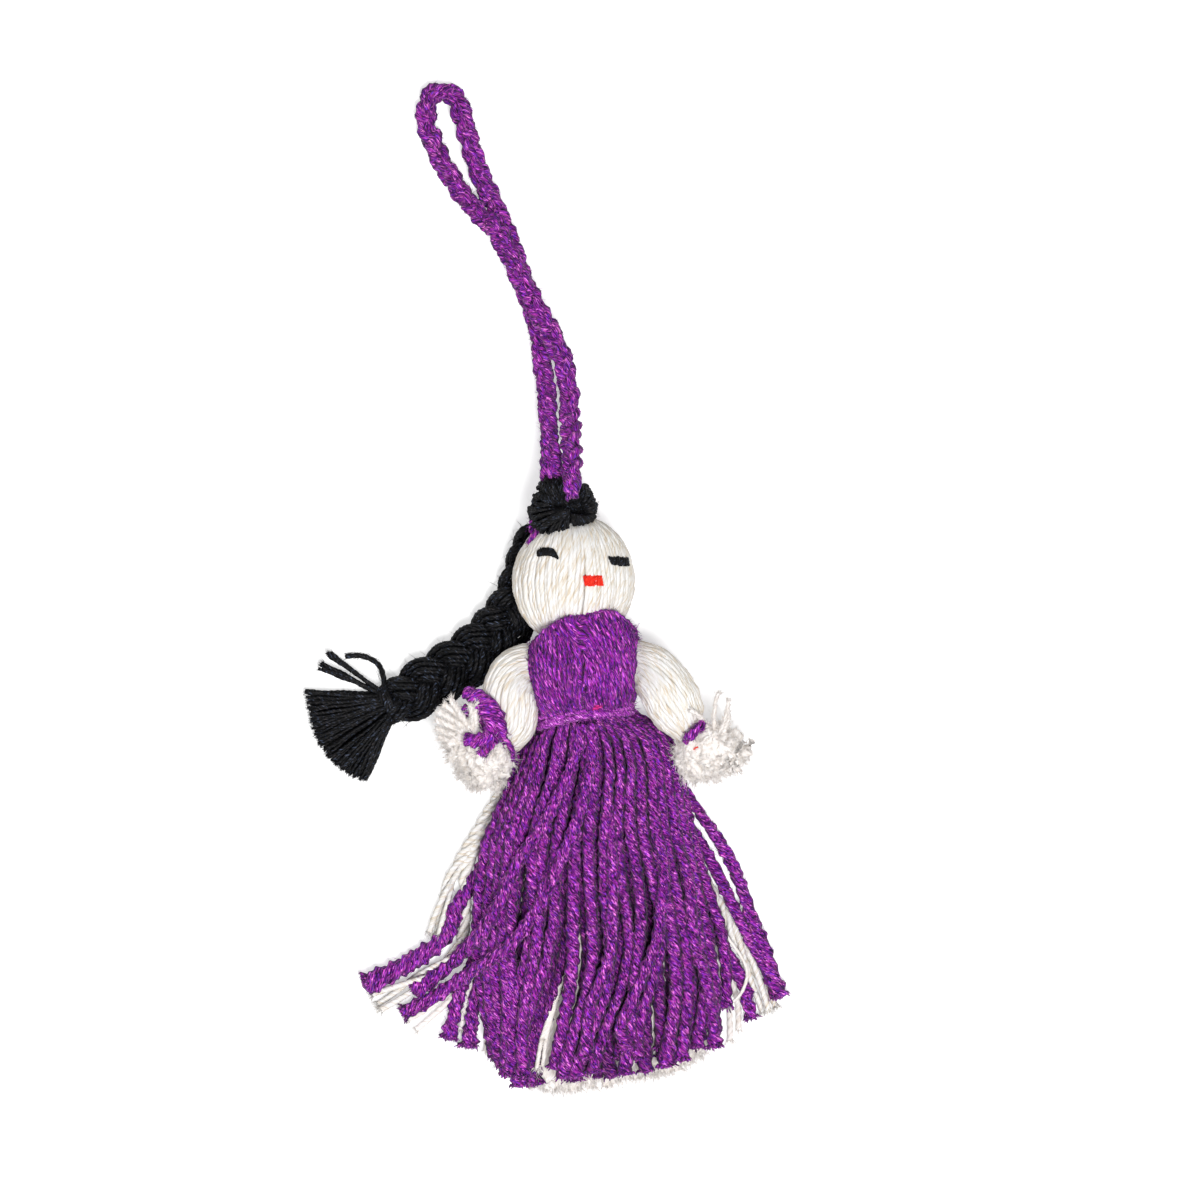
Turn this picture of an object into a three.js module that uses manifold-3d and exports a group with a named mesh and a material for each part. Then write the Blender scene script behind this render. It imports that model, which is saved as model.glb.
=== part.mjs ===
// A hanging yarn doll, lying on its back on a table.
//
// The doll is tied up out of hanks of yarn: a cream hank wound over a wadding ball makes the head and
// runs down inside the gown, a second cream hank pushed through the body makes the two arms, and a
// purple hank folded over the neck and bound at the waist makes the bodice and the skirt. Black yarn
// makes the hair and a three-strand plait, and a plaited purple cord makes the loop that it hangs by.
//
// Units are millimetres. +X is to the viewer's right, +Y runs from the waist to the head, and +Z
// comes out of the doll's front. The origin is under the waist, on the table.

import * as THREE from 'three';
import { mergeVertices } from 'three/addons/utils/BufferGeometryUtils.js';
import Module from 'manifold-3d';

const wasm = await Module();
wasm.setup();

// Yarns and the gap between pieces that touch
const YARN = 2.3; // purple gown yarn
const COTTON = 1.9; // cream underskirt yarn
const THREAD = 1.3; // binding thread
const SEAT = 0.3;
const CUT_OVERRUN = 40; // how far a cutting block reaches past what it cuts
const CUT_TOLERANCE = 0.02; // slivers thinner than this are smoothed away after a cut
const WELD = 0.0001; // corners closer than this are one corner

// Gown, as hanks bound at the waist
const WAIST_WIDTH = 17.2;
const WAIST_DEPTH = 14;
const CHEST_WIDTH = 19.6;
const CHEST_DEPTH = 20.4;
const COLLAR_HEIGHT = 18.5; // waist to the top of the front fold
const COLLAR_LEAN = 2.4; // the fold's highest point lies this far to the right
const COLLAR_DROP = 3.6; // how far the fold falls away at its sides
const BACK_HEIGHT = 14.4; // waist to the top of the back hank
const HANK = 3; // thickness of the front hank
const BACK_HANK = 3;
const SKIRT_LENGTH = 63;
const SKIRT_WIDTH = 44;
const SKIRT_DEPTH = 10.6;
const UNDERSKIRT_EXTRA = 3.4; // how far the cream ends show under the purple hem
const FRONT_STRANDS = 24;
const BODICE_STRANDS = 13;
const UNDER_STRANDS = 12;
const RIDGE = 0.75; // how far a strand stands out of its layer
const HEM_RAGGED = 3.2;
const WAIST_BINDING = 2.4;
const FLAT_CUT = 0.4; // how deep the waist tie is pressed flat where it rests on the table

// Head
const HEAD_WIDTH = 21.8;
const HEAD_LENGTH = 23;
const HEAD_DEPTH = 20;
const HEAD_LEFT = 0.3; // the head sits this far left of the doll's middle line
const NECK_HEIGHT = 14;
const NECK_RADIUS = 3.2;
const NECK_STEM = 0.6; // how far the neck runs on into the head
const HEAD_SUNK = 0.8; // how far the head comes down over the neck
const WRAP = 3.2; // thickness of the yarn over the wadding ball
const TILT_LIMIT = 8;

// Face, as stitched patches
const EYE_WIDTH = 3.6;
const EYE_HEIGHT = 1.4;
const MOUTH_WIDTH = 3.2;
const MOUTH_HEIGHT = 1.9;
const STITCH = 0.6;

// Hair
const CREST_LENGTH = 9.2;
const CREST_WIDTH = 9;
const CREST_DEPTH = 11;
const PLAIT_LENGTH = 43;
const PLAIT_WIDTH = 9.4;
const PLAIT_DEPTH = 5.5;
const PLAIT_TURNS = 3;
const TASSEL_ANGLE = 201; // where the tassel's middle points, in degrees from +X
const TASSEL_SPREAD = 43;
const TASSEL_LENGTH = 15;
const TASSEL_NECK = 1.6;
const TASSEL_DEPTH = 4.6;
const TASSEL_RAGGED = 0.7;
const TIE_TAIL = 0.9; // diameter of the plait tie's loose end

// Arms
const ARM_LENGTH = 14.5;
const ARM_WIDTH = 8.8;
const ARM_DEPTH = 8.2;
const SHOULDER_RADIUS = 3.3;
const WRIST_WIDTH = 5.6;
const HAND_LENGTH = 11.5;
const HAND_DEPTH = 8.6;
const HAND_RAGGED = 0.5;
const SHOULDER_OUT = 0.6; // how far the shoulder joints stand out past the chest's sides

// Hanging loop
const LOOP_CORD = 3.3;
const LOOP_SWING = 25; // degrees to each side
const LOOP_STEPS = 84;

// Heights above the table that several pieces share
const FOOT = YARN + 2 * SEAT; // the front hank rests this high, and loose yarns run under it
const HEAD_Z = HEAD_DEPTH / 2 + SEAT;
const ARM_Z = PLAIT_DEPTH + SEAT + ARM_DEPTH / 2 + 0.7 * SEAT;
const HEAD_Y = NECK_HEIGHT - HEAD_SUNK + HEAD_LENGTH / 2;
const BINDING_HALF = WAIST_BINDING / 2 + SEAT;

const PURPLE = new THREE.MeshStandardMaterial({ name: 'purple_yarn', color: 0x6a1f9a, roughness: 0.95 });
const CREAM = new THREE.MeshStandardMaterial({ name: 'cream_cotton', color: 0xf1e8d6, roughness: 0.9 });
const BLACK = new THREE.MeshStandardMaterial({ name: 'black_yarn', color: 0x14131a, roughness: 0.85 });
const RED = new THREE.MeshStandardMaterial({ name: 'red_thread', color: 0xe0301c, roughness: 0.8 });
const WADDING = new THREE.MeshStandardMaterial({ name: 'wadding', color: 0xe9e6df, roughness: 1 });

const radians = THREE.MathUtils.degToRad;

// A number between -1 and 1 that looks random and is the same for the same count.
function uneven(count) {
  const s = Math.sin(count * 12.9898 + 4.1) * 43758.5453;
  return 2 * (s - Math.floor(s)) - 1;
}

// Reads a list of [position, value, ...] rows at a position, with straight lines between the rows.
function along(rows, at, column = 1) {
  const last = rows.length - 1;
  if (at <= rows[0][0]) return rows[0][column];
  if (at >= rows[last][0]) return rows[last][column];
  const i = rows.findIndex((row) => row[0] > at) - 1;
  const t = (at - rows[i][0]) / (rows[i + 1][0] - rows[i][0]);
  const smooth = t * t * (3 - 2 * t);
  return rows[i][column] + (rows[i + 1][column] - rows[i][column]) * (0.5 * t + 0.5 * smooth);
}

// Closes a stack of point rings, all with the same even count, into one body. Each end is closed by
// strips between a ring's first half and its second half, so that crescent rings close too. An
// endless stack joins its last ring to its first instead.
function loft(rings, endless = false) {
  const count = rings[0].length;
  const positions = rings.flat().flatMap((p) => [p.x, p.y, p.z]);
  const index = [];
  for (let r = 0; r < (endless ? rings.length : rings.length - 1); r++) {
    const next = ((r + 1) % rings.length) * count;
    for (let i = 0; i < count; i++) {
      const j = (i + 1) % count;
      index.push(r * count + i, r * count + j, next + j, r * count + i, next + j, next + i);
    }
  }
  const top = (rings.length - 1) * count;
  for (let i = 0; !endless && i < count / 2 - 1; i++) {
    const j = count - 1 - i;
    index.push(i, j, j - 1, i, j - 1, i + 1);
    index.push(top + i, top + j - 1, top + j, top + i, top + i + 1, top + j - 1);
  }
  const geometry = new THREE.BufferGeometry();
  geometry.setAttribute('position', new THREE.Float32BufferAttribute(positions, 3));
  geometry.setIndex(index);
  return facingOut(geometry);
}

// Six times the volume that a geometry encloses, negative where its faces point inwards.
function signedVolume(geometry) {
  const p = geometry.attributes.position;
  const [a, b, c] = [new THREE.Vector3(), new THREE.Vector3(), new THREE.Vector3()];
  let sum = 0;
  for (let i = 0; i < geometry.index.count; i += 3) {
    a.fromBufferAttribute(p, geometry.index.getX(i));
    b.fromBufferAttribute(p, geometry.index.getX(i + 1));
    c.fromBufferAttribute(p, geometry.index.getX(i + 2));
    sum += a.dot(b.cross(c));
  }
  return sum;
}

function facingOut(geometry) {
  if (signedVolume(geometry) < 0) {
    const index = geometry.index.array;
    for (let i = 0; i < index.length; i += 3) [index[i + 1], index[i + 2]] = [index[i + 2], index[i + 1]];
  }
  return geometry;
}

// Booleans
function solidOf(geometry) {
  const bare = new THREE.BufferGeometry();
  bare.setAttribute('position', geometry.attributes.position.clone());
  if (geometry.index) bare.setIndex(geometry.index.clone());
  const merged = mergeVertices(bare, WELD);
  const mesh = { numProp: 3, vertProperties: merged.attributes.position.array };
  return new wasm.Manifold(new wasm.Mesh({ ...mesh, triVerts: new Uint32Array(merged.index.array) }));
}

function geometryOf(solid) {
  const mesh = solid.getMesh();
  const geometry = new THREE.BufferGeometry();
  geometry.setAttribute('position', new THREE.BufferAttribute(mesh.vertProperties, 3));
  geometry.setIndex(new THREE.BufferAttribute(mesh.triVerts, 1));
  return geometry;
}

// What is left of a geometry when others are cut from it, keeping the largest piece.
function cut(geometry, ...others) {
  let solid = solidOf(geometry);
  for (const other of others) solid = solid.subtract(solidOf(other));
  const pieces = solid.decompose().sort((a, b) => b.volume() - a.volume());
  return geometryOf(pieces[0].simplify(CUT_TOLERANCE));
}

// Cuts off what reaches below the table.
function cutAtTable(geometry) {
  const below = new THREE.BoxGeometry(10 * CUT_OVERRUN, 10 * CUT_OVERRUN, CUT_OVERRUN);
  return cut(geometry, below.translate(0, 0, -CUT_OVERRUN / 2));
}

// Copies of a geometry turned about an upright axis through a pivot.
function turned(geometry, pivot, degrees) {
  return geometry
    .clone()
    .translate(-pivot.x, -pivot.y, 0)
    .rotateZ(radians(degrees))
    .translate(pivot.x, pivot.y, 0);
}

function circle(radius, sides) {
  const shape = new THREE.Shape();
  for (let i = 0; i < sides; i++) {
    const a = (2 * Math.PI * i) / sides;
    if (i) shape.lineTo(radius * Math.cos(a), radius * Math.sin(a));
    else shape.moveTo(radius, 0);
  }
  return shape;
}

// A round yarn or cord along a list of points.
function cord(points, diameter, sides, steps) {
  const path = new THREE.CatmullRomCurve3(points);
  const options = { extrudePath: path, steps, bevelEnabled: false };
  return new THREE.ExtrudeGeometry(circle(diameter / 2, sides), options);
}

// A closed ring of thread round a bundle that runs in the direction of an angle in the table's
// plane. The ring's section may be deeper than it is wide, as several turns of thread are.
function binding({ centre, angle, halfWidth, halfDepth, thread, deep = thread }) {
  const around = 20;
  const section = 6;
  const a = halfWidth + deep / 2;
  const b = halfDepth + deep / 2;
  const rings = [];
  for (let i = 0; i < around; i++) {
    const t = (2 * Math.PI * i) / around;
    const outward = new THREE.Vector2(b * Math.cos(t), a * Math.sin(t)).normalize();
    const ring = [];
    for (let j = 0; j < section; j++) {
      const s = (2 * Math.PI * (j + 0.5)) / section;
      const out = (deep / 2) * Math.cos(s);
      const p = new THREE.Vector3(a * Math.cos(t) + out * outward.x, 0, b * Math.sin(t) + out * outward.y);
      p.y = (thread / 2) * Math.sin(s);
      ring.push(p.applyAxisAngle(new THREE.Vector3(0, 0, 1), angle - Math.PI / 2).add(centre));
    }
    rings.push(ring);
  }
  return loft(rings, true);
}

// Gown layers
// A layer of strands is a curved band. Its section at any place along the strands is an arch from
// foot to foot, ridged once for each strand outside and smooth inside.
function strandLayer({ strands, ridge, steps, section, yOf }) {
  const count = 2 * strands;
  const rings = [];
  for (let r = 0; r <= steps; r++) {
    const v = r / steps;
    const s = section(v);
    const outer = [];
    const inner = [];
    for (let k = 0; k <= count; k++) {
      const a = (Math.PI * k) / count;
      const stand = k % 2 ? ridge : 0;
      const y = yOf(v, Math.cos(a), k);
      const z = s.z + s.edge + (s.h + stand) * Math.sin(a);
      outer.push(new THREE.Vector3(s.x + (s.w + stand) * Math.cos(a), y, z));
      inner.unshift(new THREE.Vector3(s.x + s.innerW * Math.cos(a), y, s.z + s.innerH * Math.sin(a)));
    }
    rings.push([...outer, ...inner]);
  }
  return loft(rings);
}

// Outline of the dressed body below the waist, by the share of the skirt's length: half-width and
// height as shares of the hem's, and how far the middle drifts left as a share of the hem's width.
const SKIRT_SHARES = [
  [0, 0.39, 1.27, 0.0],
  [0.08, 0.52, 1.36, 0.012],
  [0.19, 0.65, 1.34, 0.02],
  [0.35, 0.8, 1.24, 0.04],
  [0.5, 0.93, 1.15, 0.05],
  [0.64, 1.02, 1.08, 0.055],
  [0.8, 1.05, 1.03, 0.045],
  [1, 0.98, 1.0, 0.035],
];

function skirtOutline(v) {
  return {
    x: -SKIRT_WIDTH * along(SKIRT_SHARES, v, 3),
    w: (SKIRT_WIDTH / 2) * along(SKIRT_SHARES, v, 1),
    h: SKIRT_DEPTH * along(SKIRT_SHARES, v, 2),
  };
}

function hemY(strand, across, length) {
  return -length + 0.06 * SKIRT_LENGTH * across * across + (HEM_RAGGED / 2) * uneven(strand);
}

const skirtFront = strandLayer({
  strands: FRONT_STRANDS,
  ridge: RIDGE,
  steps: 8,
  section: (v) => {
    const o = skirtOutline(v);
    const h = o.h - FOOT;
    return { x: o.x, w: o.w, z: FOOT, edge: 0, h, innerW: o.w - HANK, innerH: h - HANK };
  },
  yOf: (v, across, k) => -BINDING_HALF + (hemY(k, across, SKIRT_LENGTH) + BINDING_HALF) * v,
});

const skirtBack = strandLayer({
  strands: UNDER_STRANDS,
  ridge: 0,
  steps: 5,
  section: (v) => {
    const o = skirtOutline(v);
    const w = o.w - HANK - SEAT;
    return { x: o.x, w, z: 0, edge: BACK_HANK / 2, h: BACK_HANK / 2, innerW: w - RIDGE, innerH: 0 };
  },
  yOf: (v, across, k) => -BINDING_HALF + (hemY(k + 100, across, SKIRT_LENGTH) + BINDING_HALF) * v,
});

const underskirt = strandLayer({
  strands: UNDER_STRANDS,
  ridge: 0.4 * RIDGE,
  steps: 6,
  section: (v) => {
    const o = skirtOutline(v);
    const z = BACK_HANK + SEAT;
    const w = o.w - HANK - SEAT - 3 * RIDGE;
    const h = o.h - HANK - z - 2 * SEAT - RIDGE;
    return { x: o.x, w, z, edge: RIDGE, h: h - RIDGE, innerW: w - RIDGE, innerH: 0 };
  },
  yOf: (v, across, k) => {
    const end = hemY(k + 200, across, SKIRT_LENGTH + UNDERSKIRT_EXTRA);
    return -BINDING_HALF + (end + BINDING_HALF) * v;
  },
});

// Outline of the bodice by the share of its height: half-width and height as shares of the chest's.
const BODICE_SHARES = [
  [0, WAIST_WIDTH / CHEST_WIDTH, WAIST_DEPTH / CHEST_DEPTH],
  [0.2, 0.95, 0.8],
  [0.45, 1, 0.9],
  [0.7, 1, 0.98],
  [0.88, 0.94, 1],
  [1, 0.86, 0.98],
];

function bodiceOutline(v) {
  return {
    w: (CHEST_WIDTH / 2) * along(BODICE_SHARES, v, 1),
    h: CHEST_DEPTH * along(BODICE_SHARES, v, 2),
  };
}

// The front hank thins where it folds over at the collar.
const FOLD_SHARE = 0.8; // where the fold starts, as a share of the bodice's height

function foldThickness(v) {
  const past = Math.max(0, (v - FOLD_SHARE) / (1 - FOLD_SHARE));
  return HANK * (0.4 + 0.6 * Math.sqrt(1 - 0.95 * past * past));
}

const bodiceWhole = strandLayer({
  strands: BODICE_STRANDS,
  ridge: 0.7 * RIDGE,
  steps: 7,
  section: (v) => {
    const o = bodiceOutline(v);
    const h = o.h - FOOT - HANK;
    const t = foldThickness(v);
    return { x: 0, w: o.w - HANK + t, z: FOOT, edge: 0, h: h + t, innerW: o.w - HANK, innerH: h };
  },
  yOf: (v, across) => {
    const off = across - (2 * COLLAR_LEAN) / CHEST_WIDTH;
    const top = COLLAR_HEIGHT - COLLAR_DROP * off * off;
    return BINDING_HALF + (top - BINDING_HALF) * v;
  },
});

const bodiceBack = strandLayer({
  strands: 6,
  ridge: 0,
  steps: 3,
  section: (v) => {
    const o = bodiceOutline((v * BACK_HEIGHT) / COLLAR_HEIGHT);
    const w = o.w - HANK - SEAT;
    return { x: 0, w, z: 0, edge: BACK_HANK / 2, h: BACK_HANK / 2, innerW: w - RIDGE, innerH: 0 };
  },
  yOf: (v, across) => BINDING_HALF + (BACK_HEIGHT - across * across - BINDING_HALF) * v,
});

// The cream hank inside the bodice, narrowing to the neck that the head sits on.
function torsoCore() {
  const bottom = BACK_HANK + SEAT;
  const stem = NECK_HEIGHT + NECK_STEM;
  const rows = [
    [-BINDING_HALF + SEAT, 1],
    [BINDING_HALF, 1],
    [0.35 * NECK_HEIGHT, 1],
    [0.62 * NECK_HEIGHT, 0.92],
    [0.78 * NECK_HEIGHT, 0.62],
    [0.86 * NECK_HEIGHT, 0],
    [stem, 0],
  ];
  const count = 16;
  const rings = rows.map(([y, full]) => {
    const o = bodiceOutline(y / COLLAR_HEIGHT);
    const width = o.w - HANK - 2 * SEAT;
    const height = o.h - HANK - FOOT - 3 * SEAT;
    return Array.from({ length: count }, (_, i) => {
      const a = (2 * Math.PI * (i + 0.5)) / count;
      const fromBottom = Math.sin(a) < 0 ? bottom - FOOT : height;
      const arch = new THREE.Vector3(width * Math.cos(a), y, FOOT + fromBottom * Math.abs(Math.sin(a)));
      const neck = new THREE.Vector3(NECK_RADIUS * Math.cos(a), y, HEAD_Z + NECK_RADIUS * Math.sin(a));
      return neck.lerp(arch, full);
    });
  });
  return loft(rings);
}

// An upright elliptical ring, square to an angle in the table's plane.
function ringOf(centre, angle, halfWidth, halfDepth, count) {
  const ring = [];
  for (let i = 0; i < count; i++) {
    const a = (2 * Math.PI * (i + 0.5)) / count;
    const side = halfWidth * Math.cos(a);
    const x = centre.x + side * Math.sin(angle);
    const y = centre.y - side * Math.cos(angle);
    ring.push(new THREE.Vector3(x, y, centre.z + halfDepth * Math.sin(a)));
  }
  return ring;
}

// The thread that gathers the cream hank at the neck.
function neckTie(grow) {
  const ring = new THREE.TorusGeometry(NECK_RADIUS + SEAT + THREAD / 2, THREAD / 2 + grow, 6, 16);
  return ring.rotateX(Math.PI / 2).translate(0, 0.89 * NECK_HEIGHT, HEAD_Z);
}

// The waist tie squeezes the hanks onto the core, and its underside rests flat on the table.
function waistTie(grow) {
  const core = bodiceOutline(0);
  const bottom = BACK_HANK;
  const top = core.h - HANK - 2 * SEAT;
  return binding({
    centre: new THREE.Vector3(0, 0, (top + bottom) / 2),
    angle: Math.PI / 2,
    halfWidth: core.w - HANK - SEAT - grow,
    halfDepth: (top - bottom) / 2 - grow,
    thread: WAIST_BINDING + 2 * grow,
    deep: HANK + FLAT_CUT + 2 * grow,
  });
}

// Loose yarns
// The height at which a yarn of some radius lies over the skirt's front, or on the table beside it.
function lyingZ(x, y, radius) {
  const v = Math.min(1, Math.max(0, (-y - BINDING_HALF) / (SKIRT_LENGTH - BINDING_HALF)));
  const o = skirtOutline(v);
  const grow = RIDGE + radius + SEAT;
  const across = (x - o.x) / (o.w + grow);
  if (Math.abs(across) >= 1) return radius;
  return Math.max(radius, FOOT + (o.h - FOOT + grow) * Math.sqrt(1 - across * across));
}

// Each loose yarn's route in the table's plane, as shares of half the skirt's width across and of
// its length down, with its kind, and its height as lying over the skirt or on the table.
const LOOSE_YARNS = [
  ['loose_yarn_left_1', 'cotton', 'table',
    [[-0.62, 0.14], [-0.78, 0.2], [-0.99, 0.3], [-1.21, 0.43], [-1.35, 0.545]]],
  ['loose_yarn_left_2', 'cotton', 'table',
    [[-0.84, 0.3], [-0.97, 0.39], [-1.12, 0.5], [-1.23, 0.605], [-1.43, 0.7], [-1.74, 0.775]]],
  ['loose_yarn_left_3', 'yarn', 'table',
    [[-1.3, 0.575], [-1.45, 0.625], [-1.69, 0.665], [-1.98, 0.69]]],
  ['loose_yarn_left_4', 'yarn', 'table',
    [[-1.21, 0.66], [-1.32, 0.72], [-1.5, 0.785], [-1.66, 0.835]]],
  ['loose_yarn_left_5', 'yarn', 'table', [[-1.14, 0.69], [-1.2, 0.77], [-1.3, 0.84], [-1.4, 0.9]]],
  ['loose_yarn_left_6', 'yarn', 'table', [[-1.09, 0.77], [-1.15, 0.85], [-1.23, 0.92]]],
  ['loose_yarn_front_1', 'yarn', 'over',
    [[-0.32, 0.2], [-0.54, 0.32], [-0.74, 0.43], [-0.9, 0.52]]],
  ['loose_yarn_front_2', 'yarn', 'over', [[-0.2, 0.28], [-0.42, 0.4], [-0.62, 0.51], [-0.83, 0.6]]],
  ['loose_yarn_right_1', 'yarn', 'table',
    [[0.55, 0.22], [0.84, 0.34], [1.04, 0.49], [1.2, 0.68], [1.36, 0.86]]],
  ['loose_yarn_right_2', 'cotton', 'table',
    [[0.63, 0.38], [0.84, 0.47], [0.98, 0.58], [1.09, 0.71], [1.21, 0.88]]],
  ['loose_yarn_right_3', 'yarn', 'table', [[0.88, 0.7], [1.0, 0.8], [1.06, 0.92]]],
];

function looseYarn(kind, place, shares) {
  const diameter = kind === 'cotton' ? COTTON : YARN;
  const flat = shares.map(
    ([across, down]) => new THREE.Vector3((across * SKIRT_WIDTH) / 2, -down * SKIRT_LENGTH, 0),
  );
  const route = new THREE.CatmullRomCurve3(flat).getSpacedPoints(8);
  for (const p of route) p.z = place === 'over' ? lyingZ(p.x, p.y, diameter / 2) : diameter / 2;
  return cord(route, diameter, 6, 10);
}

// Head
// A power of 2 makes the head's outline an ellipse, and a higher one makes its sides fuller.
const OUTLINE_POWER = 2.15;

// The head's radius across, at a height up the doll, from the neck to the gathered crown.
function headRadius(y, grow = 0) {
  const up = (y - HEAD_Y) / (HEAD_LENGTH / 2 + grow);
  return (HEAD_WIDTH / 2 + grow) * Math.sqrt(Math.max(0, 1 - Math.abs(up) ** OUTLINE_POWER));
}

function headFrontZ(x, y) {
  const r = headRadius(y);
  const across = x + HEAD_LEFT;
  return HEAD_Z + (HEAD_DEPTH / HEAD_WIDTH) * Math.sqrt(Math.max(0, r * r - across * across));
}

function placeHead(geometry) {
  return geometry.scale(1, 1, HEAD_DEPTH / HEAD_WIDTH).translate(-HEAD_LEFT, 0, HEAD_Z);
}

// The outline's heights, closer together towards its two ends.
function headLevels(grow, levels) {
  const half = HEAD_LENGTH / 2 + grow;
  return Array.from({ length: levels + 1 }, (_, i) => HEAD_Y - half * Math.cos((Math.PI * i) / levels));
}

// The height in the head's lower half where its outline is as wide as a radius.
function headLevelOf(radius, grow) {
  const share = (1 - (radius / (HEAD_WIDTH / 2 + grow)) ** 2) ** (1 / OUTLINE_POWER);
  return HEAD_Y - (HEAD_LENGTH / 2 + grow) * share;
}

function headEnvelope(grow) {
  const profile = headLevels(grow, 10).map((y) => new THREE.Vector2(headRadius(y, grow), y));
  profile[0].x = 0;
  profile[10].x = 0;
  return placeHead(new THREE.LatheGeometry(profile, 24));
}

function headYarn() {
  const hole = ((NECK_RADIUS + HEAD_LEFT + SEAT) * HEAD_WIDTH) / HEAD_DEPTH;
  const rim = hole + THREAD;
  const outer = headLevels(0, 12)
    .filter((y) => y > headLevelOf(rim, 0) + SEAT)
    .map((y) => new THREE.Vector2(headRadius(y), y));
  outer[outer.length - 1].x = 0;
  const inner = headLevels(-WRAP, 12)
    .filter((y) => y > headLevelOf(hole, -WRAP) + SEAT)
    .map((y) => new THREE.Vector2(headRadius(y, -WRAP), y));
  inner[inner.length - 1].x = 0;
  const mouthOfNeck = [
    new THREE.Vector2(hole, headLevelOf(hole, -WRAP)),
    new THREE.Vector2(hole, headLevelOf(rim, 0)),
    new THREE.Vector2(rim, headLevelOf(rim, 0)),
  ];
  return placeHead(new THREE.LatheGeometry([...inner.reverse(), ...mouthOfNeck, ...outer], 24));
}

function headCore() {
  const ball = new THREE.SphereGeometry(1, 16, 10);
  const grow = -WRAP - 2 * SEAT;
  ball.scale(HEAD_WIDTH / 2 + grow, HEAD_LENGTH / 2 + grow, HEAD_DEPTH / 2 + grow);
  return ball.translate(-HEAD_LEFT, HEAD_Y, HEAD_Z);
}

// The middles of the stitched patches, across and up, as shares of half the head's size, and their
// tilts in degrees.
const FACE_SHARES = { left_eye: [-0.39, 0.47], right_eye: [0.74, 0.2], mouth: [0.31, -0.05] };
const FACE_TILT = { left_eye: -8, right_eye: -14, mouth: -4 };

// A stitched patch that follows the face.
function facePatch(name, width, height) {
  const [across, up] = FACE_SHARES[name];
  const middle = new THREE.Vector2(-HEAD_LEFT + (across * HEAD_WIDTH) / 2, HEAD_Y + (up * HEAD_LENGTH) / 2);
  const columns = 4;
  const rings = [];
  for (let i = 0; i <= columns; i++) {
    const corners = [-1, 1, 1, -1].map((row, j) => {
      const offset = new THREE.Vector2((i / columns - 0.5) * width, (row * height) / 2);
      const p = offset.rotateAround(new THREE.Vector2(), radians(FACE_TILT[name])).add(middle);
      return new THREE.Vector3(p.x, p.y, headFrontZ(p.x, p.y) + (j < 2 ? SEAT : SEAT + STITCH));
    });
    rings.push(corners);
  }
  return loft(rings);
}

// Hair
// One lobe of the crest is a fan of looped yarn that swells from the crown and ends bluntly.
const CROWN_SHARE = 0.46; // the gathered crown, as a share of the head's length above its middle
const CREST_ROOT = new THREE.Vector3(0, HEAD_Y + (CROWN_SHARE - 0.05) * HEAD_LENGTH, HEAD_Z);
const LOBE_ANGLE = { left: radians(124), right: radians(58) };
const LOBE_SHARES = [
  [0, 0.45],
  [0.25, 0.8],
  [0.55, 1],
  [0.85, 0.92],
  [1, 0.62],
];

function crestLobe(angle, lengthShare, widthShare, grow) {
  const direction = new THREE.Vector3(Math.cos(angle), Math.sin(angle), 0);
  const rings = LOBE_SHARES.map(([share, full]) => {
    const centre = CREST_ROOT.clone().addScaledVector(direction, share * lengthShare * CREST_LENGTH);
    const count = 20;
    const halfWidth = (CREST_WIDTH / 2) * widthShare * full + grow;
    const ring = ringOf(centre, angle, halfWidth, (CREST_DEPTH / 2) * full + grow, count);
    ring.forEach((p, i) => {
      if (i % 2 && share > 0) p.sub(centre).multiplyScalar(1 - RIDGE / CREST_WIDTH).add(centre);
    });
    return ring;
  });
  return loft(rings);
}

// The plait's route in the table's plane, as shares of its length from its root under the crest.
const PLAIT_ROOT = new THREE.Vector3(-0.76 * (HEAD_WIDTH / 2), HEAD_Y + 0.87 * (HEAD_LENGTH / 2), 0);
const PLAIT_ROUTE_SHARES = [
  [0, 0, 0.088],
  [-0.054, -0.09, 0.078],
  [-0.09, -0.185, 0.071],
  [-0.12, -0.285, 0.067],
  [-0.173, -0.388, 0.067],
  [-0.253, -0.478, 0.067],
  [-0.353, -0.545, 0.067],
  [-0.463, -0.6, 0.067],
  [-0.57, -0.645, 0.067],
  [-0.652, -0.668, 0.067],
];
const PLAIT_SIZE_SHARES = [
  [0, 0.36, 0.66],
  [0.12, 0.42, 0.66],
  [0.25, 0.55, 0.8],
  [0.42, 0.92, 1],
  [0.85, 1, 1],
  [0.96, 0.72, 0.92],
  [1, 0.5, 0.85],
];
// Where strands weave, they swing to each side by this many of their own half-widths.
const WEAVE = 1.75;
const STRAND_FILL = 0.82; // what is left of a strand's size once it stands clear of the others

const plaitRoute = new THREE.CatmullRomCurve3(
  PLAIT_ROUTE_SHARES.map(([x, y, z]) =>
    PLAIT_ROOT.clone().add(new THREE.Vector3(x * PLAIT_LENGTH, y * PLAIT_LENGTH, z * PLAIT_LENGTH)),
  ),
);

function headingAt(route, share) {
  const t = route.getTangentAt(share);
  return Math.atan2(t.y, t.x);
}

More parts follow.
